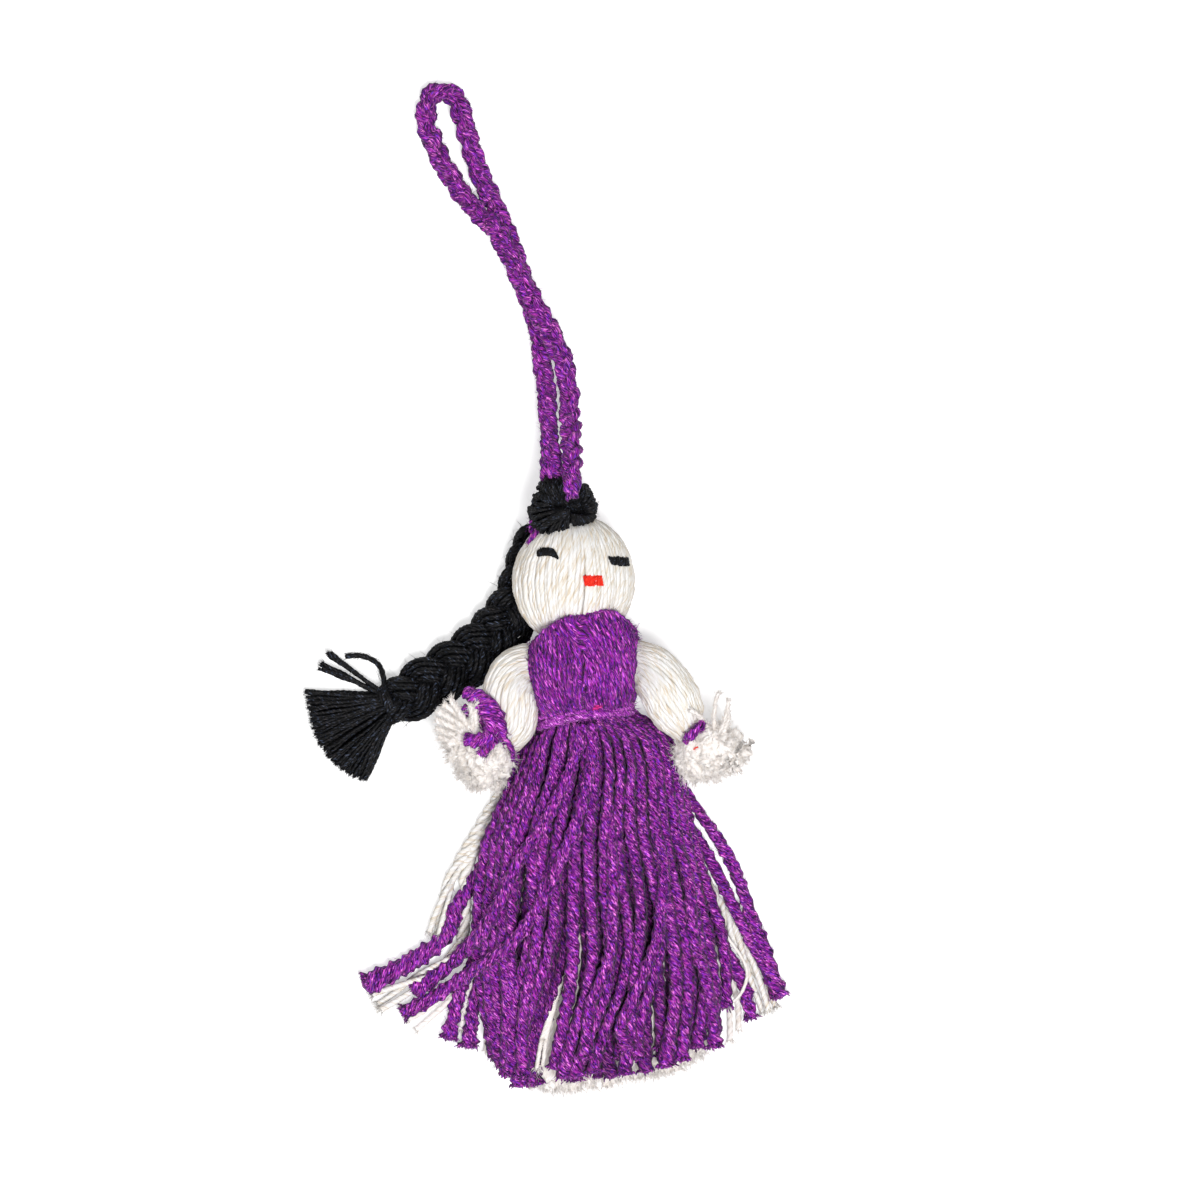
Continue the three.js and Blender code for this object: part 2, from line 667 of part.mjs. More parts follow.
function plaitStrand(which) {
  const steps = 34;
  const rings = [];
  for (let i = 0; i <= steps; i++) {
    const share = i / steps;
    const turn = 2 * Math.PI * (PLAIT_TURNS * share ** 0.82 + which / 3);
    const halfWidth = ((PLAIT_WIDTH / 2) * along(PLAIT_SIZE_SHARES, share, 1)) / (1 + WEAVE);
    const halfDepth = ((PLAIT_DEPTH / 2) * along(PLAIT_SIZE_SHARES, share, 2)) / (1 + WEAVE);
    const angle = headingAt(plaitRoute, share);
    const centre = plaitRoute.getPointAt(share);
    const side = WEAVE * halfWidth * Math.sin(turn);
    centre.x += side * Math.sin(angle);
    centre.y -= side * Math.cos(angle);
    centre.z += WEAVE * halfDepth * Math.sin(2 * turn);
    rings.push(ringOf(centre, angle, STRAND_FILL * halfWidth, STRAND_FILL * halfDepth, 8));
  }
  return loft(rings);
}

const plaitEnd = plaitRoute.getPointAt(1);
const plaitHeading = headingAt(plaitRoute, 1);
const plaitTip = new THREE.Vector3(Math.cos(plaitHeading), Math.sin(plaitHeading), 0);
const tieAt = plaitEnd.clone().addScaledVector(plaitTip, THREAD / 2 + SEAT);

// The loose end of the plait's tie curls down onto the table beside the tassel. Each row gives a
// place as shares of the tassel's length, and a height as a share of the tie's.
const TAIL_ROUTE_SHARES = [
  [0.06, 0.237, 1],
  [0.06, 0.3, 0.8],
  [0.05, 0.38, 0.32],
  [0.02, 0.45, 0.06],
  [-0.05, 0.52, 0],
  [-0.2, 0.6, 0],
  [-0.38, 0.607, 0],
];

function tieTail() {
  const rest = TIE_TAIL / 2 + SEAT;
  const points = TAIL_ROUTE_SHARES.map(
    ([x, y, z]) =>
      new THREE.Vector3(
        tieAt.x + x * TASSEL_LENGTH,
        tieAt.y + y * TASSEL_LENGTH,
        rest + z * (tieAt.z - rest),
      ),
  );
  return cord(points, TIE_TAIL, 6, 18);
}

// A fan of cut ends past a binding. Its neck is a short bundle that passes through the binding, and
// the strands past it spread between two angles, so that their ends lie on an arc.
function fan(shape) {
  const { centre, heading, neck, through, angle, spread, root } = shape;
  const { start, length, depth, strands, ragged, seed, floor } = shape;
  const back = root / Math.sin(spread) - start;
  const apex = centre.clone().sub(new THREE.Vector3(back * Math.cos(angle), back * Math.sin(angle), 0));
  const count = 2 * strands;
  const rings = [];
  for (const [place, full] of [[-through / 2, 0.7], [-through / 4, 1], [through / 2, 1]]) {
    const upper = [];
    const lower = [];
    for (let k = 0; k <= count; k++) {
      const a = Math.PI * (1 - k / count);
      const side = new THREE.Vector3(place, full * neck * -Math.cos(0.92 * (a - Math.PI / 2) + Math.PI / 2), 0);
      const half = full * neck * Math.sin(0.92 * (a - Math.PI / 2) + Math.PI / 2);
      const p = side.applyAxisAngle(new THREE.Vector3(0, 0, 1), heading).add(centre);
      upper.push(new THREE.Vector3(p.x, p.y, p.z + half));
      lower.unshift(new THREE.Vector3(p.x, p.y, p.z - half));
    }
    rings.push([...upper, ...lower]);
  }
  const steps = 3;
  for (let r = 0; r <= steps; r++) {
    const v = r / steps;
    const upper = [];
    const lower = [];
    for (let k = 0; k <= count; k++) {
      const across = (2 * k) / count - 1;
      const a = angle + spread * across;
      const end = length * (1 - 0.12 * across * across) + ragged * uneven(seed + k);
      const reach = back + start + (end - start) * v;
      const x = apex.x + reach * Math.cos(a);
      const y = apex.y + reach * Math.sin(a);
      const bulge = Math.sqrt(1 - 0.75 * across * across);
      const half = (depth / 2) * (0.8 + 0.2 * v) * bulge * (k % 2 ? 1 : 1 - 0.14 * v);
      upper.push(new THREE.Vector3(x, y, apex.z + half));
      lower.unshift(new THREE.Vector3(x, y, Math.max(floor, apex.z - half)));
    }
    rings.push([...upper, ...lower]);
  }
  return loft(rings);
}

// Arms
// A limb is a bundle of yarn: a round end at its joint, a swelling and a taper to its binding.
const LIMB_SHARES = [
  [0.12, 0.78, 0.8],
  [0.3, 0.95, 0.96],
  [0.5, 1, 1],
  [0.72, 0.95, 1],
  [0.88, 0.76, 0.9],
  [1, 0.58, 0.8],
];

function limb(route, endWidth) {
  const start = route.getPointAt(0);
  const startAngle = headingAt(route, 0);
  const rings = [];
  for (const turn of [80, 55, 28, 0]) {
    const back = -SHOULDER_RADIUS * Math.sin(radians(turn));
    const centre = start.clone().add(new THREE.Vector3(back * Math.cos(startAngle), back * Math.sin(startAngle), 0));
    const r = SHOULDER_RADIUS * Math.cos(radians(turn));
    rings.push(ringOf(centre, startAngle, r, r, 14));
  }
  for (const [share, wide, deep] of LIMB_SHARES) {
    const wideHere = share === 1 ? endWidth / 2 : (ARM_WIDTH / 2) * wide;
    rings.push(ringOf(route.getPointAt(share), headingAt(route, share), wideHere, (ARM_DEPTH / 2) * deep, 14));
  }
  return loft(rings);
}

// The arms' routes in the table's plane, as shares of their length from the shoulder, seen from the
// front. The doll's right arm is at the viewer's left and hangs closer to the body.
const ARM_ROUTE_SHARES = {
  left: [[0, 0], [-0.21, -0.2], [-0.28, -0.42], [-0.31, -0.63], [-0.43, -0.83]],
  right: [[0, 0], [0.17, -0.2], [0.29, -0.45], [0.37, -0.72], [0.52, -1.0]],
};
const SHOULDER = {
  left: new THREE.Vector3(-CHEST_WIDTH / 2 - SHOULDER_OUT, 0.8 * NECK_HEIGHT, ARM_Z),
  right: new THREE.Vector3(CHEST_WIDTH / 2 + SHOULDER_OUT, 0.8 * NECK_HEIGHT, ARM_Z),
};
const HAND_ANGLE = { left: radians(217), right: radians(-61) };
const HAND_SPREAD = { left: radians(62), right: radians(50) };

function armRoute(side) {
  const points = ARM_ROUTE_SHARES[side].map(([x, y]) =>
    SHOULDER[side].clone().add(new THREE.Vector3(x * ARM_LENGTH, y * ARM_LENGTH, 0)),
  );
  return new THREE.CatmullRomCurve3(points);
}

function armPieces(side) {
  const route = armRoute(side);
  const wrist = route.getPointAt(1);
  const heading = headingAt(route, 1);
  const forward = new THREE.Vector3(Math.cos(heading), Math.sin(heading), 0);
  const tieAt = wrist.clone().addScaledVector(forward, YARN / 2 + SEAT);
  const neck = (WRIST_WIDTH - YARN) / 2 - SEAT;
  const tie = { centre: tieAt, angle: heading, halfWidth: neck + SEAT, halfDepth: neck + SEAT, thread: YARN };
  const hand = fan({
    centre: tieAt,
    heading,
    neck,
    through: YARN,
    angle: HAND_ANGLE[side],
    spread: HAND_SPREAD[side],
    root: WRIST_WIDTH / 2,
    start: YARN / 2 + 2 * SEAT,
    length: HAND_LENGTH,
    depth: HAND_DEPTH,
    strands: 8,
    ragged: HAND_RAGGED,
    seed: side === 'left' ? 300 : 400,
    floor: 0,
  });
  return {
    arm: limb(route, WRIST_WIDTH),
    tie: binding(tie),
    hand: cut(hand, binding({ ...tie, halfWidth: neck, halfDepth: neck, thread: YARN + 2 * SEAT, deep: YARN + 2 * SEAT })),
  };
}

// The hanging loop
// The cord's route, chosen by hand: up from the front of the crest on the right, over itself, round
// the top and back down on the left. The doll lies on its back, so the cord comes down from the
// crown to the table. Each row gives a place across, a distance past the top of the head, and a
// height above the table.
const LOOP_ROUTE = [
  [1.1, 6.7, 13.4], [1.4, 8.6, 12.9], [1.6, 11.2, 11.2], [1.8, 14.4, 8.6], [1.9, 17.8, 6.1],
  [2.1, 21.8, 4.3], [1.8, 26.8, 4.2], [0.4, 32.1, 5.3], [-1.7, 37, 5.6], [-3.6, 41.4, 5.6],
  [-5.2, 45.4, 5.6], [-6.5, 49.2, 5.6], [-8.3, 53, 5.2], [-10.8, 56, 4], [-12.9, 59, 2.2],
  [-15.4, 63.4, 1.7], [-18, 69.6, 1.7], [-18.9, 74.2, 1.7], [-18.2, 77.6, 1.7], [-15.8, 79.1, 1.7],
  [-13.2, 77.6, 1.7], [-12.2, 74, 1.7], [-11.4, 69, 1.7], [-10.2, 63.4, 1.7], [-8.5, 58.8, 1.7],
  [-7.1, 54.4, 1.7], [-5.6, 49.2, 1.7], [-4.4, 44, 1.7], [-3.2, 38.4, 1.7], [-2.3, 32.6, 1.7],
  [-2, 27.2, 1.7], [-1.9, 22.2, 2.9], [-2, 18, 4.8], [-2.1, 14.4, 6.9], [-2.3, 11.2, 8.9],
  [-2.4, 8.6, 10.1], [-2.4, 6.7, 10.5],
];

const LOOP_ROOM = 1.8; // room between the cord's buried ends and its free stretch, so that it can swing
const CROWN_Y = HEAD_Y + HEAD_LENGTH / 2;
const loopPoints = LOOP_ROUTE.map(([x, past, z]) => new THREE.Vector3(x, CROWN_Y + past, z));
const loopFirst = { right: loopPoints[0], left: loopPoints.at(-1) };
const loopPivot = loopFirst.left.clone().lerp(loopFirst.right, 0.5).setZ(0);
loopPivot.y -= 0.4 * LOOP_ROOM;

// The two ends of the cord run on down through the crest to the crown.
function loopAnchor(side, grow) {
  const first = loopFirst[side];
  const foot = new THREE.Vector3(first.x, CROWN_Y + SEAT, HEAD_Z);
  const ankle = foot.clone().setY(foot.y + LOOP_CORD / 2);
  const top = first.clone().setY(first.y - LOOP_ROOM);
  const bend = top.clone().setY(top.y - LOOP_CORD / 3);
  return cord([top, bend, ankle, foot], LOOP_CORD + 2 * grow, 8, 8);
}

// What the crest leaves open above a buried end: a straight run of cord, swung both ways.
function loopThroat(side) {
  const first = loopFirst[side];
  const radius = LOOP_CORD / 2 + SEAT;
  const run = new THREE.CylinderGeometry(radius, radius, CREST_LENGTH, 12);
  run.translate(first.x, first.y - 2 * SEAT + CREST_LENGTH / 2, first.z);
  const swung = [-1, 0, 1].map((share) => solidOf(turned(run, loopPivot, share * LOOP_SWING)));
  return geometryOf(wasm.Manifold.hull(swung));
}

// The purple binding that gathers the crown. It runs round the back of the head, and its two ends
// show at the sides under the hair.
function crownTie(grow) {
  const y = HEAD_Y + CROWN_SHARE * HEAD_LENGTH;
  const r = headRadius(y - YARN / 2) + YARN / 4 + SEAT;
  const points = [];
  for (let i = 0; i <= 8; i++) {
    const a = radians(165 + (210 * i) / 8);
    points.push(new THREE.Vector3(-HEAD_LEFT + r * Math.cos(a), y, HEAD_Z + r * Math.sin(a)));
  }
  return cord(points, YARN + 2 * grow, 8, 16);
}

// Assembly: one group for each body, placed at its joint
const doll = new THREE.Group();

function bodyAt(parent, pivot) {
  const group = new THREE.Group();
  group.position.copy(pivot);
  parent.worldToLocal(group.position);
  parent.add(group);
  parent.updateMatrixWorld(true);
  return group;
}

function addPiece(group, name, geometry, material) {
  const origin = group.getWorldPosition(new THREE.Vector3());
  const placed = geometry.clone().translate(-origin.x, -origin.y, -origin.z);
  placed.computeVertexNormals();
  const mesh = new THREE.Mesh(placed, material);
  mesh.name = name;
  group.add(mesh);
  return mesh;
}

const neckPivot = new THREE.Vector3(0, NECK_HEIGHT, 0);
const head = bodyAt(doll, neckPivot);
const plait = bodyAt(head, new THREE.Vector3(PLAIT_ROOT.x, PLAIT_ROOT.y, 0));
const tassel = bodyAt(plait, new THREE.Vector3(tieAt.x, tieAt.y, 0));
const loop = bodyAt(head, loopPivot);
const arms = {
  left: bodyAt(doll, new THREE.Vector3(SHOULDER.left.x, SHOULDER.left.y, 0)),
  right: bodyAt(doll, new THREE.Vector3(SHOULDER.right.x, SHOULDER.right.y, 0)),
};

// Gown and body. The front hank is cut back from the head at every tilt, and from the shoulders.
const headSweep = [-1, -0.5, 0, 0.5, 1].map((share) => turned(headEnvelope(SEAT), neckPivot, share * TILT_LIMIT));
const shoulderPocket = (side) => {
  const pocket = new THREE.SphereGeometry(SHOULDER_RADIUS + 2 * SEAT, 16, 12);
  return pocket.translate(SHOULDER[side].x, SHOULDER[side].y, SHOULDER[side].z);
};
const coreRoom = [waistTie(SEAT), shoulderPocket('left'), shoulderPocket('right')];
addPiece(doll, 'torso_core', cut(torsoCore(), ...coreRoom), CREAM);
const bodiceRoom = [...headSweep, neckTie(SEAT), shoulderPocket('left'), shoulderPocket('right')];
addPiece(doll, 'bodice_front', cut(bodiceWhole, ...bodiceRoom), PURPLE);
addPiece(doll, 'bodice_back', bodiceBack, PURPLE);
addPiece(doll, 'waist_tie', cutAtTable(waistTie(0)), PURPLE);
addPiece(doll, 'skirt_front', skirtFront, PURPLE);
addPiece(doll, 'skirt_back', skirtBack, PURPLE);
addPiece(doll, 'underskirt', underskirt, CREAM);
for (const [name, kind, place, shares] of LOOSE_YARNS) {
  addPiece(doll, name, looseYarn(kind, place, shares), kind === 'cotton' ? CREAM : PURPLE);
}
addPiece(doll, 'neck_tie', neckTie(0), CREAM);

// Head, face and hair crest
addPiece(head, 'head_core', headCore(), WADDING);
addPiece(head, 'head_yarn', headYarn(), CREAM);
addPiece(head, 'left_eye', facePatch('left_eye', EYE_WIDTH, EYE_HEIGHT), BLACK);
addPiece(head, 'right_eye', facePatch('right_eye', EYE_WIDTH, EYE_HEIGHT), BLACK);
addPiece(head, 'mouth', facePatch('mouth', MOUTH_WIDTH, MOUTH_HEIGHT), RED);
const crown = headEnvelope(SEAT);
const tails = crownTie(SEAT);
const leftLobe = (grow) => crestLobe(LOBE_ANGLE.left, 1, 1, grow);
const loopRoom = ['left', 'right'].flatMap((side) => [loopAnchor(side, SEAT), loopThroat(side)]);
addPiece(head, 'crest_left', cut(leftLobe(0), crown, tails, ...loopRoom), BLACK);
const rightLobe = crestLobe(LOBE_ANGLE.right, 0.84, 0.8, 0);
addPiece(head, 'crest_right', cut(rightLobe, leftLobe(SEAT), crown, tails, ...loopRoom), BLACK);
addPiece(head, 'crown_tie', crownTie(0), PURPLE);
addPiece(head, 'loop_end_left', loopAnchor('left', 0), PURPLE);
addPiece(head, 'loop_end_right', loopAnchor('right', 0), PURPLE);

// Plait and its tassel
for (const which of [0, 1, 2]) addPiece(plait, `plait_strand_${which + 1}`, plaitStrand(which), BLACK);
const plaitTie = { centre: tieAt, angle: plaitHeading, halfWidth: TASSEL_NECK, halfDepth: TASSEL_NECK, thread: THREAD };
addPiece(plait, 'plait_tie', cutAtTable(binding(plaitTie)), BLACK);
addPiece(plait, 'plait_tie_tail', tieTail(), BLACK);
addPiece(
  tassel,
  'tassel',
  fan({
    centre: tieAt,
    heading: plaitHeading,
    neck: TASSEL_NECK - SEAT,
    through: THREAD,
    angle: radians(TASSEL_ANGLE),
    spread: radians(TASSEL_SPREAD),
    root: TASSEL_NECK,
    start: THREAD / 2 + 5 * SEAT,
    length: TASSEL_LENGTH,
    depth: TASSEL_DEPTH,
    strands: 8,
    ragged: TASSEL_RAGGED,
    seed: 500,
    floor: 0,
  }),
  BLACK,
);

// Arms
for (const side of ['left', 'right']) {
  const pieces = armPieces(side);
  addPiece(arms[side], `${side}_arm`, pieces.arm, CREAM);
  addPiece(arms[side], `${side}_wrist_tie`, pieces.tie, PURPLE);
  addPiece(arms[side], `${side}_hand`, pieces.hand, CREAM);
}

// The free stretch of the hanging loop
addPiece(loop, 'hanging_loop', cord(loopPoints, LOOP_CORD, 8, LOOP_STEPS), PURPLE);

export default doll;
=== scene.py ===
# %% [markdown]
# # A hanging yarn doll
#
# The doll is tied out of hanks of yarn, so its look is the look of its strands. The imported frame
# says where each hank lies. Here every hank becomes its real yarns: plied, squeezed where a thread
# binds them, frayed where they are cut, and fuzzy with loose fibres.
#
# Sizes are in millimetres and become metres when a piece is made.

import bpy
import numpy as np
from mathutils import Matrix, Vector


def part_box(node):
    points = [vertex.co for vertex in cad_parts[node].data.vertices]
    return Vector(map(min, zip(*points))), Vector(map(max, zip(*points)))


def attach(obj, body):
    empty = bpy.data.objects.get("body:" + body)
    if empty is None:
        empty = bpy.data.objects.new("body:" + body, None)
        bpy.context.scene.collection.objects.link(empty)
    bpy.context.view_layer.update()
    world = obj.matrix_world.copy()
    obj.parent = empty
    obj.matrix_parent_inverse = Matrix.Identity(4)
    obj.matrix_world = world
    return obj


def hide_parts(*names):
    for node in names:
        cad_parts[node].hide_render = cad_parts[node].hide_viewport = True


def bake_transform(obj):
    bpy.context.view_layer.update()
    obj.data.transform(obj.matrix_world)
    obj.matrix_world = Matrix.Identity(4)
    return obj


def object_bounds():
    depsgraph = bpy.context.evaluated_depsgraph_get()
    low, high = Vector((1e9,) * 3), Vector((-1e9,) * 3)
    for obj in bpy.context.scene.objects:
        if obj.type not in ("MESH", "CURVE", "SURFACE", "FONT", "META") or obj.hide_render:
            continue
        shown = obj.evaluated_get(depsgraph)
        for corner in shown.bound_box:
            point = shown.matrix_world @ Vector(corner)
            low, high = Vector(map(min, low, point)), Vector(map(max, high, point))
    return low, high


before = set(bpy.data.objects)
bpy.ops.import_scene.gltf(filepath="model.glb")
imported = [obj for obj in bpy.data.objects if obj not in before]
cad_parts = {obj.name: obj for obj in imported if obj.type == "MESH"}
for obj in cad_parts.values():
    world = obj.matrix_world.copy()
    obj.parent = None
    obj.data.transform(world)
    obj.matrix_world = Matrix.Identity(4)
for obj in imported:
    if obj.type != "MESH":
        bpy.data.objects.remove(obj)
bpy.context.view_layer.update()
MM = 0.001
TURN = 2 * np.pi
rng = np.random.default_rng(7)


def box_mm(node):
    """A CAD node's lowest and highest corners in millimetres."""
    low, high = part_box(node)
    return np.array(low) / MM, np.array(high) / MM


# %% [markdown]
# ## Camera
#
# The photograph looks straight down at the doll, which lies turned a little to the right.

# %%
PICTURE_WIDTH = 216
PICTURE_TURN = np.radians(5.5)
PICTURE_MIDDLE = (4.15, 20.6)
CAMERA_HEIGHT = 900
SENSOR = 36
MIDDLE_HEIGHT = 10  # the height in the doll at which the picture has its width

lens = SENSOR * (CAMERA_HEIGHT - MIDDLE_HEIGHT) / PICTURE_WIDTH
camera_data = bpy.data.cameras.new("camera")
camera_data.lens = lens
camera_data.sensor_width = SENSOR
camera = bpy.data.objects.new("camera", camera_data)
camera.location = Vector((*PICTURE_MIDDLE, CAMERA_HEIGHT)) * MM
camera.rotation_euler = (0, 0, -PICTURE_TURN)
bpy.context.scene.collection.objects.link(camera)
bpy.context.scene.camera = camera
print("lens", round(lens, 1))

# %% [markdown]
# ## Paths
#
# A yarn is a path and a section. Paths are arrays of shape (yarns, points, 3), so that a whole hank
# is worked out at once.


# %%
STEPS = 14  # on each span between two listed points
WAVE_PEAK = 1.6  # brings the mean of three sines back to about the height of one
UNTWIST = 0.25  # the share of its turns that a loose end loses


def unit(v):
    """The same directions, each of length one."""
    return v / np.maximum(np.linalg.norm(v, axis=-1, keepdims=True), 1e-9)


def evenly(path, count):
    """The same path with `count` points, the same distance apart."""
    run = np.r_[0, np.cumsum(np.linalg.norm(np.diff(path, axis=0), axis=1))]
    at = np.linspace(0, run[-1], count)
    return np.stack([np.interp(at, run, path[:, k]) for k in range(3)], axis=1)


def smooth(points, count):
    """`count` evenly spaced points on the smooth curve through given points.
    Between points b and c, with neighbours a and d, the curve is
    (2b + (c - a) f + (2a - 5b + 4c - d) f^2 + (3b - a - 3c + d) f^3) / 2, for f from 0 to 1."""
    p = np.asarray(points, float)
    last = len(p) - 1
    p = np.concatenate([2 * p[:1] - p[1:2], p, 2 * p[-1:] - p[-2:-1]])
    t = np.linspace(0, last, STEPS * last + 1)
    i = np.minimum(t.astype(int), last - 1)
    f = (t - i)[:, None]
    a, b, c, d = p[i], p[i + 1], p[i + 2], p[i + 3]
    bent = (2 * a - 5 * b + 4 * c - d) * f**2 + (3 * b - a - 3 * c + d) * f**3
    return evenly((2 * b + (c - a) * f + bent) / 2, count)


def laid(points, height, count):
    """The smooth curve through points seen from above, all of it at one height."""
    return smooth([(x, y, height) for x, y in points], count)


def columns_at(table, place):
    """A table's columns after the first, read where its first column has the value `place`."""
    return [np.interp(place, table[:, 0], column) for column in table[:, 1:].T]


def off_table(paths, lowest):
    """The same paths, with no point lower than this."""
    paths[..., 2] = np.maximum(paths[..., 2], lowest)
    return paths


def frames_along(paths):
    """The direction of each path at each point, and two directions square to it that turn no more
    than the path makes them."""
    tangent = unit(np.gradient(paths, axis=1))
    side = np.empty_like(paths)
    helper = np.eye(3)[np.argmin(np.abs(tangent[:, 0]), axis=1)]
    side[:, 0] = unit(np.cross(tangent[:, 0], helper))
    for i in range(1, paths.shape[1]):
        before = side[:, i - 1]
        along = np.sum(before * tangent[:, i], axis=-1, keepdims=True)
        side[:, i] = unit(before - along * tangent[:, i])
    return tangent, side, np.cross(tangent, side)


def lengths_along(paths):
    """How far along its path each point is."""
    steps = np.linalg.norm(np.diff(paths, axis=1), axis=-1)
    return np.concatenate([np.zeros((len(paths), 1)), np.cumsum(steps, axis=1)], axis=1)


def waves(count, at, size, slowest=0.6, fastest=2.2):
    """Slow uneven waves along `count` yarns: each is the sum of three sines of random phase."""
    rate = rng.uniform(slowest, fastest, (count, 3, 1))
    phase = rng.uniform(0, TURN, (count, 3, 1))
    return size * np.mean(np.sin(TURN * rate * at + phase), axis=1) * WAVE_PEAK


def drift(angle, at, size):
    """Waves that yarns beside each other share, so that they wander without parting: the mean of
    four sines of m x angle + k x at, for whole numbers m and random k."""
    total = 0
    for m in (1, 2, 4, 7):
        total = total + np.sin(m * angle + rng.uniform(-9, 9) * at + rng.uniform(0, TURN))
    return size * total / 4


def plied(paths, reach, plies, pitch, opened=0.0, tail=0.25):
    """Each path as several plies twisted round it. Over the last share `tail` of the length, the
    plies untwist and move apart by `opened`."""
    _, side, up = frames_along(paths)
    run = lengths_along(paths)
    v = np.linspace(0, 1, paths.shape[1])
    late = np.clip((v - (1 - tail)) / tail, 0, 1)
    turn = TURN * run / pitch * (1 - UNTWIST * late)
    out = reach + opened * late**2
    parts = []
    for ply in range(plies):
        a = turn + TURN * ply / plies
        sideways, upwards = out * np.cos(a), out * np.sin(a)
        parts.append(paths + sideways[..., None] * side + upwards[..., None] * up)
    return np.concatenate(parts)


# %% [markdown]
# ## Yarns
#
# A plied yarn's section is a ring of lobes, one for each ply, and it turns as it goes along. Each
# corner of a face carries how far along and how far round the yarn it is, in millimetres, as the map
# "yarn". Each point carries its yarn's own tint and painted shade: the share of light its colour
# keeps, lower in a groove, down the sides of a lying yarn and on yarns that lie under others.


# %%
DOME = 0.3  # how far a cut end bulges, as a share of its radius
GROOVE_LIGHT = 0.6  # the painted light in a groove, and in the middle of a cut end


def yarns(
    paths, radius, plies=3, pitch=7.0, groove=0.22, sides=12, hand=1, lumps=0.0, flank=0.4, lit=1.0
):
    """Plied yarns along paths. At the angle t, measured in the turning section, the radius is
    radius x (1 - groove + groove x |cos(plies x t / 2)|), and the section turns once in `pitch`.
    `lumps` is the share by which sines along and round the yarn swell and thin it. Each point
    carries painted shade: its light falls from `lit` in a groove, and by the share `flank` down the
    sides of a lying yarn, where its neighbours would shade it; a lower `lit` paints shade on yarns
    that lie under others. The ends are low domes, with the map laid flat and their middles painted as
    dark as a groove.
    What would lie below the table is flattened on it."""
    count, rings = paths.shape[:2]
    radius = np.broadcast_to(radius, (count, rings))
    tangent, side, up = frames_along(paths)
    run = lengths_along(paths)
    turn = hand * TURN * run / pitch + rng.uniform(0, TURN, count)[:, None]
    around = TURN * np.arange(sides) / sides
    rise_and_shade = np.abs(np.cos(plies * around / 2)) if plies > 1 else np.ones(sides)
    lobe = 1 - groove + groove * rise_and_shade
    angle = around + turn[..., None]
    out = np.cos(angle)[..., None] * side[:, :, None] + np.sin(angle)[..., None] * up[:, :, None]
    full = radius[..., None] * lobe
    for m in (1, -2, 2, -3) if lumps else ():
        wave = rng.uniform(1.6, 4.6, (count, 1)) * run + rng.uniform(0, TURN, (count, 1))
        full = full * (1 + 0.5 * lumps * np.sin(wave[..., None] + m * around))
    tube = paths[:, :, None] + full[..., None] * out
    beyond = DOME * radius[:, [0, -1], None] * tangent[:, [0, -1]] * np.array([[-1], [1]])
    ends = paths[:, [0, -1]] + beyond
    body = count * rings * sides
    index = np.arange(body).reshape(count, rings, sides)
    here, after = index[:, :-1], index[:, 1:]
    quads = np.stack([here, np.roll(here, -1, 2), np.roll(after, -1, 2), after], axis=-1)
    u = np.broadcast_to(run[:, :-1, None], here.shape)
    u_after = np.broadcast_to(run[:, 1:, None], here.shape)
    girth = np.broadcast_to(TURN * radius.mean(axis=1)[:, None, None] / sides, here.shape)
    v = girth * np.arange(sides)
    v_next = v + girth
    places = [(u, v), (u, v_next), (u_after, v_next), (u_after, v)]
    uv = np.stack([np.stack(place, -1) for place in places], -2)
    caps, caps_uv = [], []
    disc = np.stack([np.cos(around), np.sin(around)], axis=-1)
    for end, steps in ((0, (1, 0)), (-1, (0, 1))):
        ring = index[:, end]
        centre = np.broadcast_to(body + 2 * np.arange(count)[:, None] - end, ring.shape)
        caps.append(np.stack([centre, *[np.roll(ring, -step, 1) for step in steps]], axis=-1))
        corners = np.stack([0 * disc, *[np.roll(disc, -step, 0) for step in steps]], axis=1)
        corners = radius[:, end, None, None, None] * corners
        corners[..., 0] += run[:, end, None, None]
        caps_uv.append(corners)
    tint = rng.uniform(0, 1, count)
    # Painted shade: down the sides of a lying yarn the colour darkens, and its top keeps its light.
    top = np.abs(out[..., 2]) ** 1.4
    lying = 1 - tangent[..., None, 2] ** 2
    shaded = flank * lying * (1 - top * top * (3 - 2 * top))
    shade = lit * (GROOVE_LIGHT + (1 - GROOVE_LIGHT) * rise_and_shade) * (1 - shaded)
    co = np.concatenate([tube.reshape(-1, 3), ends.reshape(-1, 3)])
    co[:, 2] = np.maximum(co[:, 2], 0)
    return {
        "co": co,
        "quads": quads.reshape(-1, 4),
        "tris": np.concatenate(caps).reshape(-1, 3),
        "uv": np.concatenate([uv.reshape(-1, 2), np.concatenate(caps_uv).reshape(-1, 2)]),
        "tint": np.concatenate([np.repeat(tint, rings * sides), np.repeat(tint, 2)]),
        "rise_and_shade": np.concatenate([shade.reshape(-1), np.full(2 * count, GROOVE_LIGHT)]),
    }


def joined(*shapes):
    """Several shapes as one."""
    starts = np.cumsum([0] + [len(s["co"]) for s in shapes[:-1]])
    quad_uv = [s["uv"][: 4 * len(s["quads"])] for s in shapes]
    tri_uv = [s["uv"][4 * len(s["quads"]) :] for s in shapes]
    whole = {key: np.concatenate([s[key] for s in shapes]) for key in ("co", "tint", "rise_and_shade")}
    whole["quads"] = np.concatenate([s["quads"] + n for s, n in zip(shapes, starts)])
    whole["tris"] = np.concatenate([s["tris"] + n for s, n in zip(shapes, starts)])
    whole["uv"] = np.concatenate(quad_uv + tri_uv)
    return whole


# %% [markdown]
# ## Loose fibres
#
# A fibre is a three-sided tube of three rings. Fibres stand out all over a yarn, and a cut end is a
# brush of them.

# %%
FIBRE = 0.045
FIBRE_TAPER = np.array([1, 0.85, 0.4])  # a fibre's rings, as shares of its thickness
TABLE_CLEARANCE = 0.06
ROOT_DEPTH = 0.15  # how deep a loose fibre is rooted, as a share of the yarn's radius


